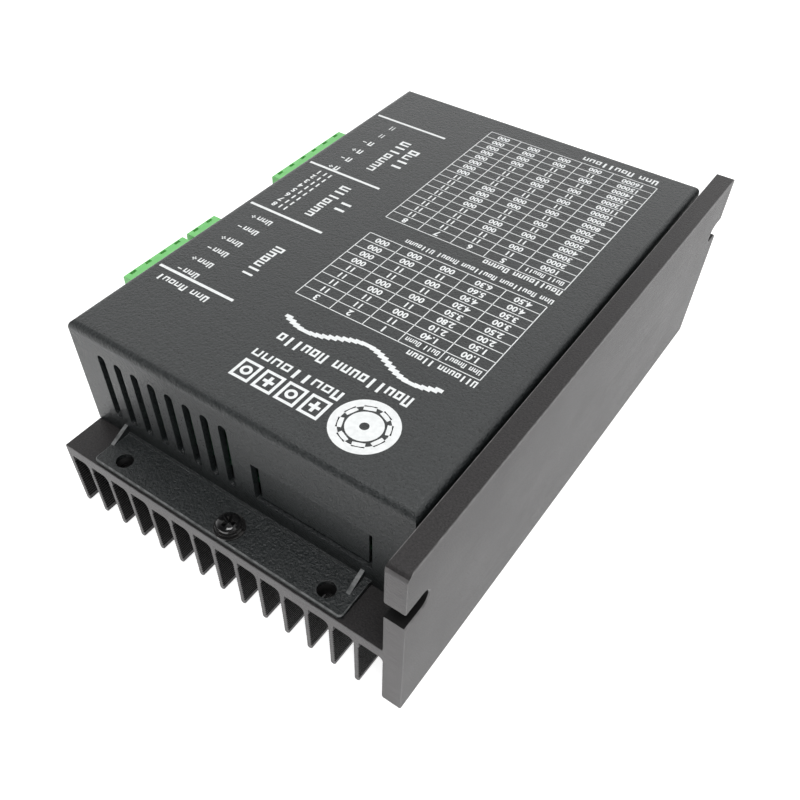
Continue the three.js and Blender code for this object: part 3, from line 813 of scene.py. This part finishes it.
def panel_tools(ys):
    """A pocket for the knock-out panel, and the slits at its sides and bottom."""
    (left, right), (bottom, top) = COVER["panel_x"], COVER["panel_z"]
    pocket_ys = (COVER["front"] - OVERCUT, COVER["front"] + COVER["panel_recess"])
    slit = COVER["panel_side_slit"]
    return [
        block("panel_tool", (left, right), pocket_ys, (bottom, top)),
        block("panel_tool", (left, left + slit), ys, (bottom, top)),
        block("panel_tool", (right - slit, right), ys, (bottom, top)),
        block("panel_tool", (left, right), ys, (bottom, bottom + COVER["panel_bottom_slit"])),
    ]


def takes_painted_highlight(polygon):
    """Whether a cover face is a foot's broken edge or the slope of a web, the faces that take the painted
    highlight.
    """
    low = polygon.center.z < COVER["foot_top"] + COVER["gusset_height"]
    return low and 0.2 < polygon.normal.z < 0.98


def make_cover():
    front, back, wall = COVER["front"], COVER["back"], COVER["wall"]
    xs, ys = (0, COVER["right"]), (front, back)
    piece = arched_box("cover_shell", xs, ys, COVER["bottom"], COVER["top"], COVER["edge_radius"])
    inner_xs, inner_ys = (wall, COVER["right"] - wall), (front + wall, back - wall)
    inner_radius = COVER["edge_radius"] - wall
    floor = COVER["bottom"] - OVERCUT
    hollow = arched_box("hollow", inner_xs, inner_ys, floor, COVER["top"] - wall, inner_radius, 4)
    cut(piece, [hollow])
    added = foot(front, COVER["foot_front"], 1) + foot(back, COVER["foot_back"], -1)
    combine(piece, added, "UNION")
    front_wall = (front - OVERCUT, front + wall + OVERCUT)
    back_wall = (back - wall - OVERCUT, back + OVERCUT)
    tools = [vent(i, ys) for i in range(COVER["vents"]) for ys in (front_wall, back_wall)]
    tools += panel_tools(front_wall)
    for y0, y1, z0, z1 in SIDE_WINDOWS:
        tools.append(block("window_tool", (-OVERCUT, wall + OVERCUT), (y0, y1), (z0, z1)))
    for node in ("fault_led", "power_led"):
        hole = circle((middle(spans(node)[1]), LED_HEIGHT), LED_HOLE_RADIUS)
        tools.append(prism("lamp_tool", hole, "X", -OVERCUT, wall + OVERCUT))
    for x in FOOT_HOLES_X:
        for y in FOOT_HOLES_Y:
            hole = circle((x, y), COVER["hole_radius"], 28)
            tools.append(prism("hole_tool", hole, "Z", floor, COVER["foot_top"] + OVERCUT))
    carve(piece, tools, COVER["edge_break"])
    # Foot edges and web slopes take the painted highlight.
    paint_faces(piece, (COVER_GRAIN, COVER_EDGE_HIGHLIGHT), takes_painted_highlight)
    return finish_piece(piece, "root", COVER_GRAIN, ["cover"])


make_cover()


# ---------------------------------------------------------------- cover screws


def pan_head(base, radius, height):
    """A low domed head as (radius, height) points, from its underside to the crown."""
    side = 0.55 * height
    rise = [(radius - 0.1, base), (radius, base + 0.1), (radius - 0.02, base + side)]
    for i in range(1, 9):
        turn = math.radians(90 * i / 8)
        reach = 0.16 + 0.78 * math.cos(turn)
        rise.append((radius * reach, base + side + (height - side) * math.sin(turn)))
    return rise


def washer(radius, base, height):
    """A plain ring with broken edges, bored to clear the shank."""
    rim, bore = 0.09, 1.7
    profile = [(bore, base), (radius - rim, base), (radius, base + rim)]
    return [*profile, (radius, base + height - rim), (radius - rim, base + height), (bore, base + height)]


def cross_tool(x, y, top):
    """A cross recess whose four arms taper to a point."""
    arms = []
    for horizontal in (True, False):
        rings = []
        for reach, half, z in ((2.3, 0.62, top + 0.4), (2.0, 0.56, top), (0.5, 0.26, top - 1.4)):
            a, b = (reach, half) if horizontal else (half, reach)
            rings.append(place_outline(rectangle(x - a, x + a, y - b, y + b), "Z", z))
        arms.append(loft("cross_tool", rings))
    return arms


def make_cover_screw(node, body):
    """A pan-head screw over a spring washer and a flat washer."""
    xs, ys, (_, top) = spans(node)
    x, y = middle(xs), middle(ys)
    seat = COVER["foot_top"] + 0.05
    flat, spring, gap = 0.45, 0.62, 0.03
    spring_base = seat + flat + gap
    profiles = (washer(SCREW["washer"], seat, flat), washer(SCREW["spring"], spring_base, spring))
    rings = [lathe("washer", profile, (x, y), "Z", 48) for profile in profiles]
    head_base = spring_base + spring + gap
    shank = [(1.05, seat - 5.0), (1.4, seat - 4.7)]
    shank += [(radius, seat - 4.7 + 0.35 * i) for i, radius in enumerate([1.4, 1.15] * 6, 1)]
    shank += [(1.4, seat - 0.2), (1.4, head_base)]
    profile = shank + pan_head(head_base, SCREW["head"], top - head_base)
    head = lathe(node + "_screw", profile, (x, y), "Z", 40)
    cut(head, cross_tool(x, y, top))
    join(head, rings)
    return finish_piece(head, body, BLACK_STEEL, [node], 35)


for screw_node in ("cover_screw_front", "cover_screw_back"):
    make_cover_screw(screw_node, "root")


# ---------------------------------------------------------------- pluggable terminals


def pole_ys(plug_node, poles):
    centre = middle(spans(plug_node)[1])
    return [centre + (i - (poles - 1) / 2) * POLE_PITCH for i in range(poles)]


def entry_tool(front, y):
    """A wire entry that narrows from a flared mouth."""
    flare, (bottom, top) = PLUG["entry_flare"], PLUG["entry_z"]
    rings = []
    for x, grow in ((front - OVERCUT, flare + OVERCUT), (front + flare, 0), (PLUG["chamber_x"][0] + 1, 0)):
        a0, a1 = around(y, PLUG["entry_width"] + 2 * grow)
        outline = rounded_rectangle(a0, a1, bottom - grow, top + grow, 0.3 + grow / 2)
        rings.append(place_outline(outline, "X", x))
    return loft("entry_tool", rings)


def pole_tools(y, front, back, bottom, top):
    """What one pole cuts away: wire entry, clamp chamber, pin socket, screw well and the slot on top."""
    chamber_zs, radius, lead = PLUG["chamber_z"], PLUG["well_radius"], PLUG["well_lead"]
    socket_xs = (PLUG["socket_end"], back + OVERCUT)
    socket_zs = around(PLUG["socket_height"], PLUG["socket"])
    well = [(radius + lead + OVERCUT, bottom - OVERCUT), (radius, bottom + lead)]
    well += [(radius, PLUG["well_end"] - 0.02), (PLUG["throat"], PLUG["well_end"])]
    well.append((PLUG["throat"], chamber_zs[0] + 0.5))
    window_xs = around(PLUG["window_x"], PLUG["window_width"])
    window_zs = (PLUG["window_bottom"], top + OVERCUT)
    return [
        entry_tool(front, y),
        block("chamber_tool", PLUG["chamber_x"], around(y, PLUG["chamber_width"]), chamber_zs),
        block("socket_tool", socket_xs, around(y, PLUG["socket"]), socket_zs),
        lathe("well_tool", well, (SCREW_X, y), "Z", 28),
        block("window_tool", window_xs, around(y, PLUG["window_length"]), window_zs),
    ]


def groove_tools(y, front, bottom, top):
    """The grooves between two poles, up the front and along the underside."""
    groove, ys = PLUG["groove"], around(y, PLUG["groove"])
    up = ((front - OVERCUT, front + groove), ys, (bottom - OVERCUT, top - PLUG["groove_stop"]))
    under = ((front - OVERCUT, PLUG["groove_end"]), ys, (bottom - OVERCUT, bottom + groove))
    return [block("groove_tool", *up), block("groove_tool", *under)]


def make_plug(name, poles):
    """A plug's body: a block with bevelled front edges and a narrower tongue that enters the header."""
    node = f"{name}_plug"
    (front, back), (left, right), (bottom, top) = spans(node)
    shoulder, chamfer, inset_y = PLUG["shoulder"], PLUG["chamfer"], PLUG["tongue_inset"]
    outline = [(front, bottom + chamfer), (front + chamfer, bottom), (shoulder, bottom)]
    outline += [(shoulder, top), (front + chamfer, top), (front, top - chamfer)]
    piece = prism(node + "_body", outline, "Y", left, right)
    tongue = ((shoulder - OVERCUT, back), (left + inset_y, right - inset_y), PLUG["tongue_z"])
    combine(piece, [block("tongue", *tongue)], "UNION")
    ys = pole_ys(node, poles)
    tools = []
    for y in ys:
        tools += pole_tools(y, front, back, bottom, top)
    for pair in zip(ys, ys[1:]):
        tools += groove_tools(middle(pair), front, bottom, top)
    carve(piece, tools, 0.1)
    return finish_piece(piece, node, PLUG_GREEN, [node])


def pin(x0, x1, y):
    """A square header pin with a tapered tip."""
    half, height = HEADER["pin_half"], PLUG["socket_height"]
    rings = []
    for x, reach in ((x0, half * HEADER["pin_taper"]), (x0 + HEADER["pin_tip"], half), (x1, half)):
        outline = rectangle(y - reach, y + reach, height - reach, height + reach)
        rings.append(place_outline(outline, "X", x))
    return loft("pin", rings)


def make_header(name, poles):
    node = f"{name}_header"
    (tip, back), (left, right), zs = spans(node)
    front, gap, wall = PLUG["shoulder"] + HEADER["gap"], HEADER["gap"], HEADER["wall"]
    piece = block(node + "_housing", (front, back), (left, right), zs)
    cavity_zs = (PLUG["tongue_z"][0] - gap, PLUG["tongue_z"][1] + gap)
    cavity_xs = (front - OVERCUT, back - HEADER["floor"])
    carve(piece, [block("cavity_tool", cavity_xs, (left + wall, right - wall), cavity_zs)], 0.12)
    finish_piece(piece, "root", PLUG_GREEN, [node])
    pins = [pin(tip, back - HEADER["pin_end"], y) for y in pole_ys(f"{name}_plug", poles)]
    pins[0].name = f"{name}_pins"
    join(pins[0], pins[1:])
    return finish_piece(pins[0], "root", TIN)


def make_terminal_screw(node):
    """A slotted head that faces down, with a grooved shank above it."""
    xs, ys, (low, high) = spans(node)
    x, y = middle(xs), middle(ys)
    head, head_top, crest, root = 1.65, low + 1.35, 1.2, 0.98
    profile = [(0.9, low), (head - 0.2, low + 0.06), (head, low + 0.25), (head, head_top - 0.15)]
    profile += [(head - 0.05, head_top - 0.02), (crest, head_top)]
    profile += [(radius, head_top + 0.25 * i) for i, radius in enumerate([root, crest] * 8, 1)]
    profile += [(crest, high - 0.35), (0.8, high)]
    piece = lathe(node + "_turned", profile, (x, y), "Z", 32)
    cut(piece, [block("drive_tool", around(x, 6), around(y, 0.6), (low - OVERCUT, low + 0.7))])
    return finish_piece(piece, node, STEEL, [node])


def make_clamp(node):
    """A wire cage, open at both ends, with a threaded floor and ribs under its roof."""
    xs, ys, zs = spans(node)
    piece = prism(node + "_cage", rounded_rectangle(*ys, *zs, 0.35), "X", *xs)
    bore = rounded_rectangle(ys[0] + 0.4, ys[1] - 0.4, zs[0] + 1.0, zs[1] - 0.8, 0.25)
    tools = [prism("bore_tool", bore, "X", xs[0] - OVERCUT, xs[1] + OVERCUT)]
    thread = circle((SCREW_X, middle(ys)), 1.35, 24)
    tools.append(prism("thread_tool", thread, "Z", zs[0] - OVERCUT, zs[0] + 1.5))
    rib_ys, rib_zs = around(middle(ys), 1.8), (zs[1] - 0.9, zs[1] - 0.72)
    for i in range(4):
        x = xs[0] + 0.8 + i * 0.9
        tools.append(block("rib_tool", (x, x + 0.35), rib_ys, rib_zs))
    carve(piece, tools, 0.06)
    return finish_piece(piece, node, BRASS, [node])


for terminal, pole_count in TERMINALS:
    make_plug(terminal, pole_count)
    make_header(terminal, pole_count)
    for pole in range(1, pole_count + 1):
        make_terminal_screw(f"{terminal}_screw_{pole}")
        make_clamp(f"{terminal}_clamp_{pole}")


# ---------------------------------------------------------------- printed marks


def digit_mesh(text, size):
    """The filled outline of a row of digits, as a flat mesh lying in XY and centred on the origin."""
    curve = bpy.data.curves.new("digits", "FONT")
    curve.body = text
    curve.size = size
    curve.offset = 0.03 * size
    curve.align_x = "CENTER"
    curve.align_y = "CENTER"
    curve.resolution_u = 2
    holder = bpy.data.objects.new("digits", curve)
    bpy.context.scene.collection.objects.link(holder)
    graph = bpy.context.evaluated_depsgraph_get()
    mesh = bpy.data.meshes.new_from_object(holder.evaluated_get(graph))
    bpy.data.objects.remove(holder)
    return mesh


class Print:
    """Collects flat ink shapes on a plane. A frame gives where reading (right) and up point."""

    def __init__(self, name):
        self.name = name
        self.bm = bmesh.new()
        self.digits = {}

    def polygon(self, points):
        """A filled outline of 3-D points."""
        self.bm.faces.new([self.bm.verts.new(p) for p in points])

    def strip(self, place, a0, a1, b0, b1):
        """A rectangle in a placed plane's own reading and up directions."""
        self.polygon([place @ Vector((a, b, 0)) for a, b in rectangle(a0, a1, b0, b1)])

    def ring(self, place, centre, outer, inner, steps=40):
        turns = [2 * math.pi * i / steps for i in range(steps)]
        ways = [Vector((math.cos(t), math.sin(t), 0)) for t in turns]
        middle = Vector((*centre, 0))
        outside = [self.bm.verts.new(place @ (middle + w * outer)) for w in ways]
        inside = [self.bm.verts.new(place @ (middle + w * inner)) for w in ways]
        for i in range(steps):
            j = (i + 1) % steps
            self.bm.faces.new((outside[i], outside[j], inside[j], inside[i]))

    def number(self, place, text, size, stretch=1.0):
        """Digits centred on the placed plane's origin."""
        key = (text, size)
        if key not in self.digits:
            self.digits[key] = digit_mesh(text, size)
        copy = self.digits[key].copy()
        copy.transform(place @ Matrix.Diagonal((stretch, 1, 1, 1)))
        self.bm.from_mesh(copy)
        bpy.data.meshes.remove(copy)

    def sign(self, place, a0, a1, height, kind):
        """One meaningless mark of an invented script: a ring, arch, cup or bar of even strokes."""
        line = min(0.24 * height, 0.32 * (a1 - a0))
        if kind == "bar":
            middle = (a0 + a1) / 2
            self.strip(place, middle - 0.6 * line, middle + 0.6 * line, 0, height)
            return
        self.strip(place, a0, a0 + line, 0, height)
        self.strip(place, a1 - line, a1, 0, height)
        if kind != "cup":
            self.strip(place, a0 + line, a1 - line, height - line, height)
        if kind != "arch":
            self.strip(place, a0 + line, a1 - line, 0, line)

    def words(self, place, start, end, height, lengths):
        """A line of marks grouped as words between start and end. They spell nothing."""
        gap = 0.7  # a space, in marks
        total = sum(lengths) + gap * (len(lengths) - 1)
        pitch = (end - start) / total
        kinds = ("ring", "arch", "bar", "cup", "ring", "bar", "arch", "cup")
        along = start
        index = 0
        for length in lengths:
            for position in range(length):
                kind = kinds[(index * 3 + length) % len(kinds)]
                tall = 1.0 if position == 0 or kind == "bar" else 0.74
                self.sign(place, along + 0.08 * pitch, along + 0.86 * pitch, tall * height, kind)
                along += pitch
                index += 1
            along += gap * pitch

    def finish(self):
        """Gives the ink a little thickness and makes it a piece."""
        bmesh.ops.triangulate(self.bm, faces=self.bm.faces)
        bmesh.ops.solidify(self.bm, geom=self.bm.faces[:], thickness=INK_THICKNESS)
        return finish_piece(new_piece(self.name, self.bm), "root", PRINT)


INK_THICKNESS = 0.02
INK_Z = COVER["top"] + 0.012
TABLE_LINE = 0.22
HEAD_ROW = 3.2
HEAD_BASELINE = 2.5


def reading_left(x, y):
    """A plane on the cover's top whose lines run towards -X with their tops towards -Y."""
    return Matrix.Translation((x, y, INK_Z)) @ Matrix.Rotation(math.pi, 4, "Z")


def reading_front(x, y):
    """A plane on the cover's top whose lines run towards -Y with their tops towards +X."""
    return Matrix.Translation((x, y, INK_Z)) @ Matrix.Rotation(-math.pi / 2, 4, "Z")


def table(ink, columns, rows):
    """Table rules: columns are X places, rows are Y places."""
    place = Matrix.Translation((0, 0, INK_Z))
    for x in columns:
        ink.strip(place, *around(x, TABLE_LINE), rows[0], rows[-1])
    for y in rows:
        ink.strip(place, min(columns), max(columns), *around(y, TABLE_LINE))


def cell_text(ink, columns, rows, row, column, text, size):
    place = reading_left(middle(columns[column:]), middle(rows[row:]))
    ink.number(place, text, size)


ON_TEXT, OFF_TEXT = "11", "000"


def setting_table(ink, columns, top, height, headings, values, first_switch, size):
    """Marks over the value columns and numbers over the switches, then values and switch states in rows."""
    count = len(values)
    rows = [top] + [top + HEAD_ROW + height * i / count for i in range(count + 1)]
    table(ink, columns, rows)
    for column, (half, lengths) in enumerate(headings):
        place = reading_left(middle(columns[column:]), top + HEAD_BASELINE)
        ink.words(place, -half, half, 1.5, lengths)
    switches = len(columns) - 1 - len(headings)
    for i in range(switches):
        cell_text(ink, columns, rows, 0, len(headings) + i, str(first_switch + i), 2.6)
    for row, texts in enumerate(values):
        states = [OFF_TEXT if row >> i & 1 else ON_TEXT for i in range(switches)]
        for column, text in enumerate([*texts, *states]):
            cell_text(ink, columns, rows, row + 1, column, text, size)


def setting_tables(ink):
    """The two tables of switch settings, with made-up numbers."""
    columns = (82.2, 72.0, 62.0, 52.7, 43.8, 34.3)
    pairs = [(f"{low / 10:.2f}", f"{low * 7 / 50:.2f}") for low in range(10, 50, 5)]
    setting_table(ink, columns, 47.3, 25.3, ((4.3, (3, 5)), (4.3, (4, 4))), pairs, 1, 2.5)
    columns = (82.5, 70.4, 61.3, 52.2, 42.9, 33.5)
    steps = [(str(1000 * i),) for i in range(1, 17)]
    setting_table(ink, columns, 83.3, 48.0, ((5.0, (4, 5)),), steps, 5, 2.4)


def emblem(ink):
    """A plain motor sign: a toothed ring round a rotor disc with a hole."""
    place = reading_left(70.8, 23.5)
    ink.ring(place, (0, 0), 7.2, 5.3, 64)
    ink.ring(place, (0, 0), 3.9, 1.0, 48)
    for i in range(8):
        turn = Matrix.Rotation(math.radians(45 * i + 22.5), 4, "Z")
        ink.strip(place @ turn, 4.3, 5.5, -1.3, 1.3)


def symbol_row(ink):
    """Four plain square signs in place of a name."""
    for i, x in enumerate((59.8, 53.9, 48.0, 42.1)):
        place = reading_left(x, 22.0)
        for a0, a1, b0, b1 in ((-2.5, 2.5, 2.1, 2.8), (-2.5, 2.5, -2.8, -2.1)):
            ink.strip(place, a0, a1, b0, b1)
        for a0, a1 in ((-2.5, -1.8), (1.8, 2.5)):
            ink.strip(place, a0, a1, -2.1, 2.1)
        if i % 2 == 0:
            ink.strip(place, -1.3, 1.3, -0.4, 0.4)
            ink.strip(place, -0.4, 0.4, 0.4, 1.5)
            ink.strip(place, -0.4, 0.4, -1.5, -0.4)
        else:
            ink.ring(place, (0, 0), 1.35, 0.65, 24)


def stepped_wave(ink):
    """A microstepped sine wave, drawn as a staircase, in place of a title."""
    place = reading_left(57.75, 40.45)
    half, steps, waves, height, line = 20.2, 30, 1.5, 2.1, 1.0
    width = 2 * half / steps
    levels = [height * math.sin(2 * math.pi * waves * (i + 0.5) / steps) for i in range(steps)]
    path = []
    for i, level in enumerate(levels):
        path += [Vector((-half + i * width, level)), Vector((-half + (i + 1) * width, level))]
    sides = {1: [], -1: []}
    for i, point in enumerate(path):
        rising = path[min(i + 1, len(path) - 1)] - path[max(i - 1, 0)]
        lean = math.copysign(1, rising.y) if 0 < i < len(path) - 1 else 0
        for side, line_points in sides.items():
            line_points.append((point.x - side * lean * line / 2, point.y + side * line / 2))
    outline = sides[1] + sides[-1][::-1]
    ink.polygon([place @ Vector((a, b, 0)) for a, b in outline])


def pin_labels(ink):
    """Terminal labels: a word of marks and a sign, and the switch's numbers between them."""
    for i, y in enumerate((39.6, 44.4, 49.5, 54.4, 60.2, 65.3)):
        place = reading_left(9.7, y)
        ink.words(place, -3.1, 1.5, 1.9, (3,))
        ink.strip(place, 1.9, 3.1, 0.8, 1.15)
        if i % 2 == 1:
            ink.strip(place, 2.33, 2.67, 0.38, 1.57)
    for i in range(8):
        place = reading_left(9.3, 71.8 + 2.57 * i)
        ink.words(place @ Matrix.Translation((0, -0.75, 0)), -2.6, 0.6, 1.6, (2,))
        ink.number(place @ Matrix.Translation((1.7, 0, 0)), str(8 - i), 2.4)
    for i, y in enumerate((95.0, 100.3, 105.3, 110.3, 115.5, 120.6)):
        place = reading_left(9.3, y)
        ink.words(place, -1.6, 0.1, 2.0, (1,) if i < 4 else (2,))
        if i < 4:
            ink.strip(place, 0.5, 1.7, 0.85, 1.2)
        if i % 2 == 0 and i < 4:
            ink.strip(place, 0.93, 1.27, 0.42, 1.62)


WORD_LINES = (  # reading, X, Y, half width, height, marks in each word
    (reading_left, 57.5, 35.3, 17.2, 3.0, (9, 6)),
    (reading_left, 73.9, 46.6, 8.6, 1.9, (7, 5)),
    (reading_left, 62.8, 78.7, 19.8, 1.7, (3, 8, 8, 5, 7)),
    (reading_left, 72.3, 82.8, 10.3, 1.9, (9, 5)),
    (reading_left, 71.0, 137.8, 10.8, 2.2, (3, 8)),
    (reading_left, 12.5, 34.8, 7.8, 2.0, (3, 5)),
    (reading_left, 50.9, 28.4, 11.8, 2.7, (9,)),
    (reading_front, 19.6, 51.75, 6.7, 2.9, (6,)),
    (reading_front, 21.0, 80.3, 2.9, 2.9, (2,)),
    (reading_front, 16.4, 80.4, 8.1, 2.9, (7,)),
    (reading_front, 20.9, 107.9, 5.6, 2.9, (4,)),
    (reading_front, 16.4, 107.0, 8.9, 2.9, (7,)),
)


def make_label():
    """Everything printed on the cover's top."""
    ink = Print("cover_print")
    emblem(ink)
    symbol_row(ink)
    stepped_wave(ink)
    setting_tables(ink)
    for reading, x, y, half, height, lengths in WORD_LINES:
        ink.words(reading(x, y), -half, half, height, lengths)
    for y in (37.0, 68.7, 92.5, 123.6):
        ink.strip(Matrix.Translation((0, 0, INK_Z)), 2.5, 25.0, y - 0.4, y + 0.4)
    pin_labels(ink)
    return ink.finish()


make_label()


# ---------------------------------------------------------------- slide switches

SWITCH = {"pitch": 2.54, "slot_width": 1.6, "slot_depth": 1.8, "slot_z": (33.9, 38.1), "number_z": 39.4}


def make_switch():
    """The switch's body, and the numbers beside its slots."""
    xs, ys, zs = spans("dip_switch_body")
    piece = block("dip_switch_housing", xs, ys, zs)
    slot_ys = [middle(ys) + (i - 3.5) * SWITCH["pitch"] for i in range(8)]
    slot_xs = (xs[0] - OVERCUT, xs[0] + SWITCH["slot_depth"])
    tools = [block("slot_tool", slot_xs, around(y, SWITCH["slot_width"]), SWITCH["slot_z"]) for y in slot_ys]
    carve(piece, tools, 0.1)
    finish_piece(piece, "root", RED, ["dip_switch_body"])
    ink = Print("dip_switch_numbers")
    face = Matrix.Rotation(-math.pi / 2, 4, "Z") @ Matrix.Rotation(math.pi / 2, 4, "X")
    for i, y in enumerate(slot_ys):
        place = Matrix.Translation((xs[0] - 0.01, y, SWITCH["number_z"])) @ face
        ink.number(place, str(8 - i), 1.9)
    ink.finish()


def make_slider(node):
    """A slider's knob with three grip grooves."""
    xs, ys, zs = spans(node)
    piece = block(node + "_knob", xs, ys, zs)
    rib_xs, rib_ys = (xs[0] - 0.5, xs[0] + 0.12), (ys[0] - OVERCUT, ys[1] + OVERCUT)
    bottoms = [zs[0] + 0.35 + 0.4 * i for i in range(3)]
    carve(piece, [block("rib_tool", rib_xs, rib_ys, (z, z + 0.16)) for z in bottoms], 0.05)
    return finish_piece(piece, node, IVORY, [node])


make_switch()
for number in range(1, 9):
    make_slider(f"dip_slider_{number}")


# ---------------------------------------------------------------- lamps, boards and what they carry


def make_lamp(node, material):
    """A lens with a round tip, in a block that stands on the board."""
    (tip, back), ys, zs = spans(node)
    radius, lens_end, holder_front = 1.5, 4.3, 4.2
    turns = (1.45, 1.2, 0.9, 0.6, 0.3, 0)
    dome = [(radius * math.cos(turn), tip + radius * (1 - math.sin(turn))) for turn in turns]
    piece = lathe(node + "_lens", [*dome, (radius, lens_end)], (middle(ys), LED_HEIGHT), "X", 28)
    finish_piece(piece, "root", material, [node])
    holder = block(node + "_holder", (holder_front, back), ys, zs)
    soften(holder, 0.25, 3)
    finish_piece(holder, "root", PACKAGE)


def make_capacitor(node):
    """A sleeved can lying along X, with a crimp near its leads."""
    (start, end), ys, zs = spans(node)
    centre = (middle(ys), middle(zs))
    radius = (ys[1] - ys[0]) / 2
    profile = [(radius - 1.3, start), (radius - 0.5, start + 0.1), (radius - 0.1, start + 0.5)]
    profile += [(radius, start + 1.1), (radius, start + 2.4), (radius - 0.35, start + 2.7)]
    profile += [(radius - 0.5, start + 3.1), (radius - 0.35, start + 3.5), (radius, start + 3.8)]
    profile += [(radius, end - 1.0), (radius - 0.15, end - 0.45), (radius - 0.55, end - 0.1)]
    profile += [(radius - 1.0, end), (radius - 1.1, end - 0.2)]
    piece = lathe(node + "_can", profile, centre, "X", 48)
    return finish_piece(piece, "root", SLEEVE, [node])


def dress(node, material, width=0.25):
    """Keeps a CAD node's shape, with its edges broken and a better material."""
    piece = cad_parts[node]
    piece.data.materials.clear()
    piece.data.materials.append(material)
    add_bevel(piece, width * MM)


make_lamp("fault_led", RED_LENS)
make_lamp("power_led", GREEN_LENS)
for number in (1, 2):
    make_capacitor(f"bulk_capacitor_{number}")
dress("main_board", BOARD, 0.1)
dress("control_board", BOARD, 0.1)
dress("control_board_header", PACKAGE)
dress("bridge_rectifier", PACKAGE)
dress("transistor_clamp_bar", STEEL)
for number in range(1, 5):
    dress(f"power_transistor_{number}", PACKAGE, 0.15)
    dress(f"board_standoff_{number}", BRASS, 0.2)


# ---------------------------------------------------------------- stage, lights and camera


def make_floor():
    """A plain pale floor, just under the fins."""
    bm = bmesh.new()
    reach, level = 6.0, -0.0002
    corners = place_outline(rectangle(-reach, reach, -reach, reach), "Z", level)
    bm.faces.new([bm.verts.new(corner) for corner in corners])
    floor = new_piece("floor", bm)
    s = Shader("floor_white")
    tone = s.tint(s.noise(3), (0.54, 0.54, 0.54), (0.56, 0.56, 0.56))
    white = (1.0, 1.0, 1.0, 1.0)
    paint = s.done(tone, s.spread(s.noise(40), 0.8, 0.9), Emission_Color=white, Emission_Strength=0.88)
    floor.data.materials.append(paint)


def area_light(name, location, target, size, energy):
    """A rectangular lamp that faces a target."""
    lamp = bpy.data.lights.new(name, "AREA")
    lamp.shape = "RECTANGLE"
    lamp.size, lamp.size_y = size
    lamp.energy = energy
    holder = bpy.data.objects.new(name, lamp)
    bpy.context.scene.collection.objects.link(holder)
    holder.location = location
    direction = Vector(target) - Vector(location)
    holder.rotation_euler = direction.to_track_quat("-Z", "Y").to_euler()


def make_world():
    """A white studio, dark towards the open side that the module's front corner faces."""
    world = bpy.data.worlds.new("studio")
    world.use_nodes = True
    nodes, links = world.node_tree.nodes, world.node_tree.links
    direction = nodes.new("ShaderNodeTexCoord").outputs["Generated"]
    aligned = nodes.new("ShaderNodeVectorMath")
    aligned.operation = "DOT_PRODUCT"
    aligned.inputs[1].default_value = (-0.1, -0.72, 0.69)
    links.new(direction, aligned.inputs[0])
    strength = nodes.new("ShaderNodeMapRange")
    strength.interpolation_type = "SMOOTHSTEP"
    strength.inputs["From Min"].default_value = 0.1
    strength.inputs["From Max"].default_value = 0.85
    strength.inputs["To Min"].default_value = 1.25
    strength.inputs["To Max"].default_value = 0.08
    links.new(aligned.outputs["Value"], strength.inputs["Value"])
    background = nodes["Background"]
    background.inputs["Color"].default_value = (1.0, 1.0, 1.0, 1.0)
    links.new(strength.outputs["Result"], background.inputs["Strength"])
    bpy.context.scene.world = world


def make_camera():
    """The camera's place and turn, from the module's own corner."""
    position = Vector((135.60, -63.73, 167.56))
    forward = Vector((-0.37495, 0.52374, -0.76492))
    up = Vector((-0.44852, 0.61963, 0.64412))
    right = forward.cross(up).normalized()
    up = right.cross(forward).normalized()
    turn = Matrix((right, up, -forward.normalized())).transposed()
    lens_data = bpy.data.cameras.new("camera")
    lens_data.sensor_width = 36.0
    lens_data.lens = 37.43
    lens_data.shift_x = 0.0322
    lens_data.shift_y = 0.0845
    lens_data.clip_start = 0.01
    lens_data.clip_end = 50.0
    camera = bpy.data.objects.new("camera", lens_data)
    camera.matrix_world = Matrix.Translation(TO_FRAME @ position) @ turn.to_4x4()
    bpy.context.scene.collection.objects.link(camera)
    bpy.context.scene.camera = camera


make_floor()
make_world()
area_light("overhead", (0.12, -0.22, 0.75), (0, 0, 0.03), (0.35, 0.35), 3.2)
make_camera()
